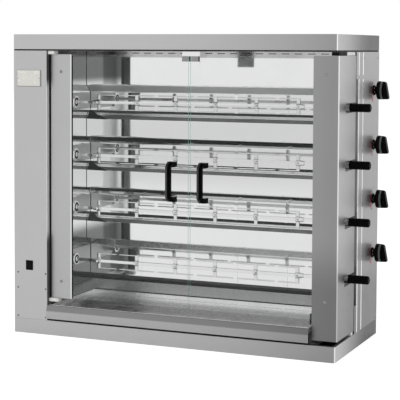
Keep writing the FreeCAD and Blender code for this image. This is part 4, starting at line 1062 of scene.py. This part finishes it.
# Dial marks. Printed in red on the cover round each knob: a dot for closed, and a band
# that widens from low to high flame.
red_print = moulded("red_print", (0.62, 0.035, 0.03), 0.45)
print_x, print_reach = machine_width + 0.08, 0.0345
marks = []
for z in knob_heights:
    middle = at(print_x, knob_y, z)
    for share in range(12):
        angle = math.radians(118 + share * 11)
        outwards = Vector((0, math.cos(angle), math.sin(angle)))
        mark = bmesh.new()
        reaches = (print_reach, print_reach + (1.4 + share * 0.55) / 1000)
        ends = [mark.verts.new(middle + outwards * reach) for reach in reaches]
        edge = mark.edges.new(ends)
        bmesh.ops.spin(mark, geom=[*ends, edge], cent=middle, axis=(1, 0, 0), dvec=(0, 0, 0),
                       angle=math.radians(8.5), steps=4)
        bmesh.ops.remove_doubles(mark, verts=mark.verts[:], dist=1e-6)
        mark.normal_update()
        if sum((one.normal for one in mark.faces), Vector()).x < 0:
            bmesh.ops.reverse_faces(mark, faces=mark.faces[:])
        marks.append(mark)
    dot = bmesh.new()
    place = Matrix.Translation(at(print_x, knob_y, z + 35)) @ Matrix.Rotation(math.pi / 2, 4, "Y")
    bmesh.ops.create_circle(dot, cap_ends=True, segments=24, radius=0.0022, matrix=place)
    marks.append(dot)
piece("dial_marks", together(*marks), red_print, "frame")


# Badge. A bare steel plate with a pale enamelled field that stands slightly proud of it,
# held by two rivets.
badge_rim = ground_steel("badge_rim", 0.3, (400, 400, 40), 0.3)
enamel = moulded("pale_enamel", (0.74, 0.73, 0.68), 0.32, 300.0, 0.00002)
badge_front, field_front = -1.4, -2
plate = block((14, badge_front, 839), (106, 0, 895))
corners = [edge for edge in plate.edges if abs(edge.verts[0].co.y - edge.verts[1].co.y) > 0.001]
ease(plate, 2, corners, 4)
field = ease(block((15.2, field_front, 841.2), (102.6, -1.1, 893.8)), 0.4, segments=2)
outline = [(0, 0), (0, 1.9), (0.5, 1.6), (0.8, 0.9), (0.9, 0)]
rivets = [turned(outline, (x, field_front, 867.5), (0, -1, 0), 16) for x in (19.5, 98.5)]
piece("badge", plate, badge_rim, "frame", ["badge_plate"])
piece("badge_field", field, enamel, "frame")
piece("badge_rivets", together(*rivets), bright_zinc, "frame")

# Cover screws. Small dark domed screws in both edges of the housing's front, and in the
# corners of the tap cover. Bright ones hold the rear sheet.
def dome(x, y, z, axis, radius, height):
    """The domed head of a screw, with a shallow recess."""
    outline = [(0, 0), (0, radius), (height * 0.4, radius * 0.92), (height * 0.8, radius * 0.6),
               (height, radius * 0.3), (height * 0.7, radius * 0.26), (height * 0.7, 0)]
    return turned(outline, (x, y, z), axis, 20)


dark_zinc = polished_steel("dark_zinc", 0.16, 0.32, 0.1, 0.1)
cover_head = (3.2, 1.2)
screws = [dome(x, 0, z, (0, -1, 0), *cover_head) for x in (15, housing_width - 5) for z in (58, 155, 207)]
screws += [dome(machine_width, y, z, (1, 0, 0), *cover_head) for y in (293, 463.8) for z in (58, 940)]
piece("cover_screw_heads", together(*screws), dark_zinc, "frame", ["cover_screws"])
low, middle, high = rim_height + 12, 505, ceiling - 12
first, last = 14, machine_width - 14
places = [(x, z) for x in (first, 384, 756, last) for z in (low, high)] + [(first, middle), (last, middle)]
rear_screws = [dome(x, machine_depth, z, (0, 1, 0), 4, 1.6) for x, z in places]
piece("rear_screw_heads", together(*rear_screws), bright_zinc, "frame")

# Switch. A moulded black rocker switch for the motor, clipped into the housing's opening.
# Its bezel lies on the sheet and its case stands behind it.
bezel_front, switch_depth = -2, 26
bezel = block(*round_switch(27, 33, bezel_front, 0))
front_edges = [edge for edge in bezel.edges if min(vert.co.y for vert in edge.verts) < at(0, -1, 0).y]
ease(bezel, 1.2, front_edges)
well = facing(bezel, (0, -1, 0))
bmesh.ops.inset_region(bezel, faces=well, thickness=0.0036, use_even_offset=True)
bmesh.ops.inset_region(bezel, faces=well, thickness=0.0002, depth=-0.0019, use_even_offset=True)
casing = ease(block(*round_switch(21.8, 27.8, 0, switch_depth)), 0.8)
gloss_black = moulded("switch_black", (0.003, 0.003, 0.003), 0.2, 500.0, 0.00003, gloss=0.08)
piece("switch_case", together(bezel, casing), gloss_black, "frame", ["switch_body"])
rocker_width, rocker_reach = 17, 11
rise = math.tan(math.radians(8)) * 12
sides = [(rise, -rocker_reach), (-1, 0), (-1 - rise, rocker_reach), (5, rocker_reach), (9, 0),
         (5, -rocker_reach)]
outline = [at(switch_x - rocker_width / 2, bezel_front + y, switch_z + z) for y, z in sides]
rocker = slab(outline, (rocker_width, 0, 0))
ease(rocker, 0.7, creases(rocker, 30))
piece("rocker", rocker, gloss_black, "switch_rocker", ["switch_rocker"])

# The bounds of the finished machine.
low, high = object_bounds()
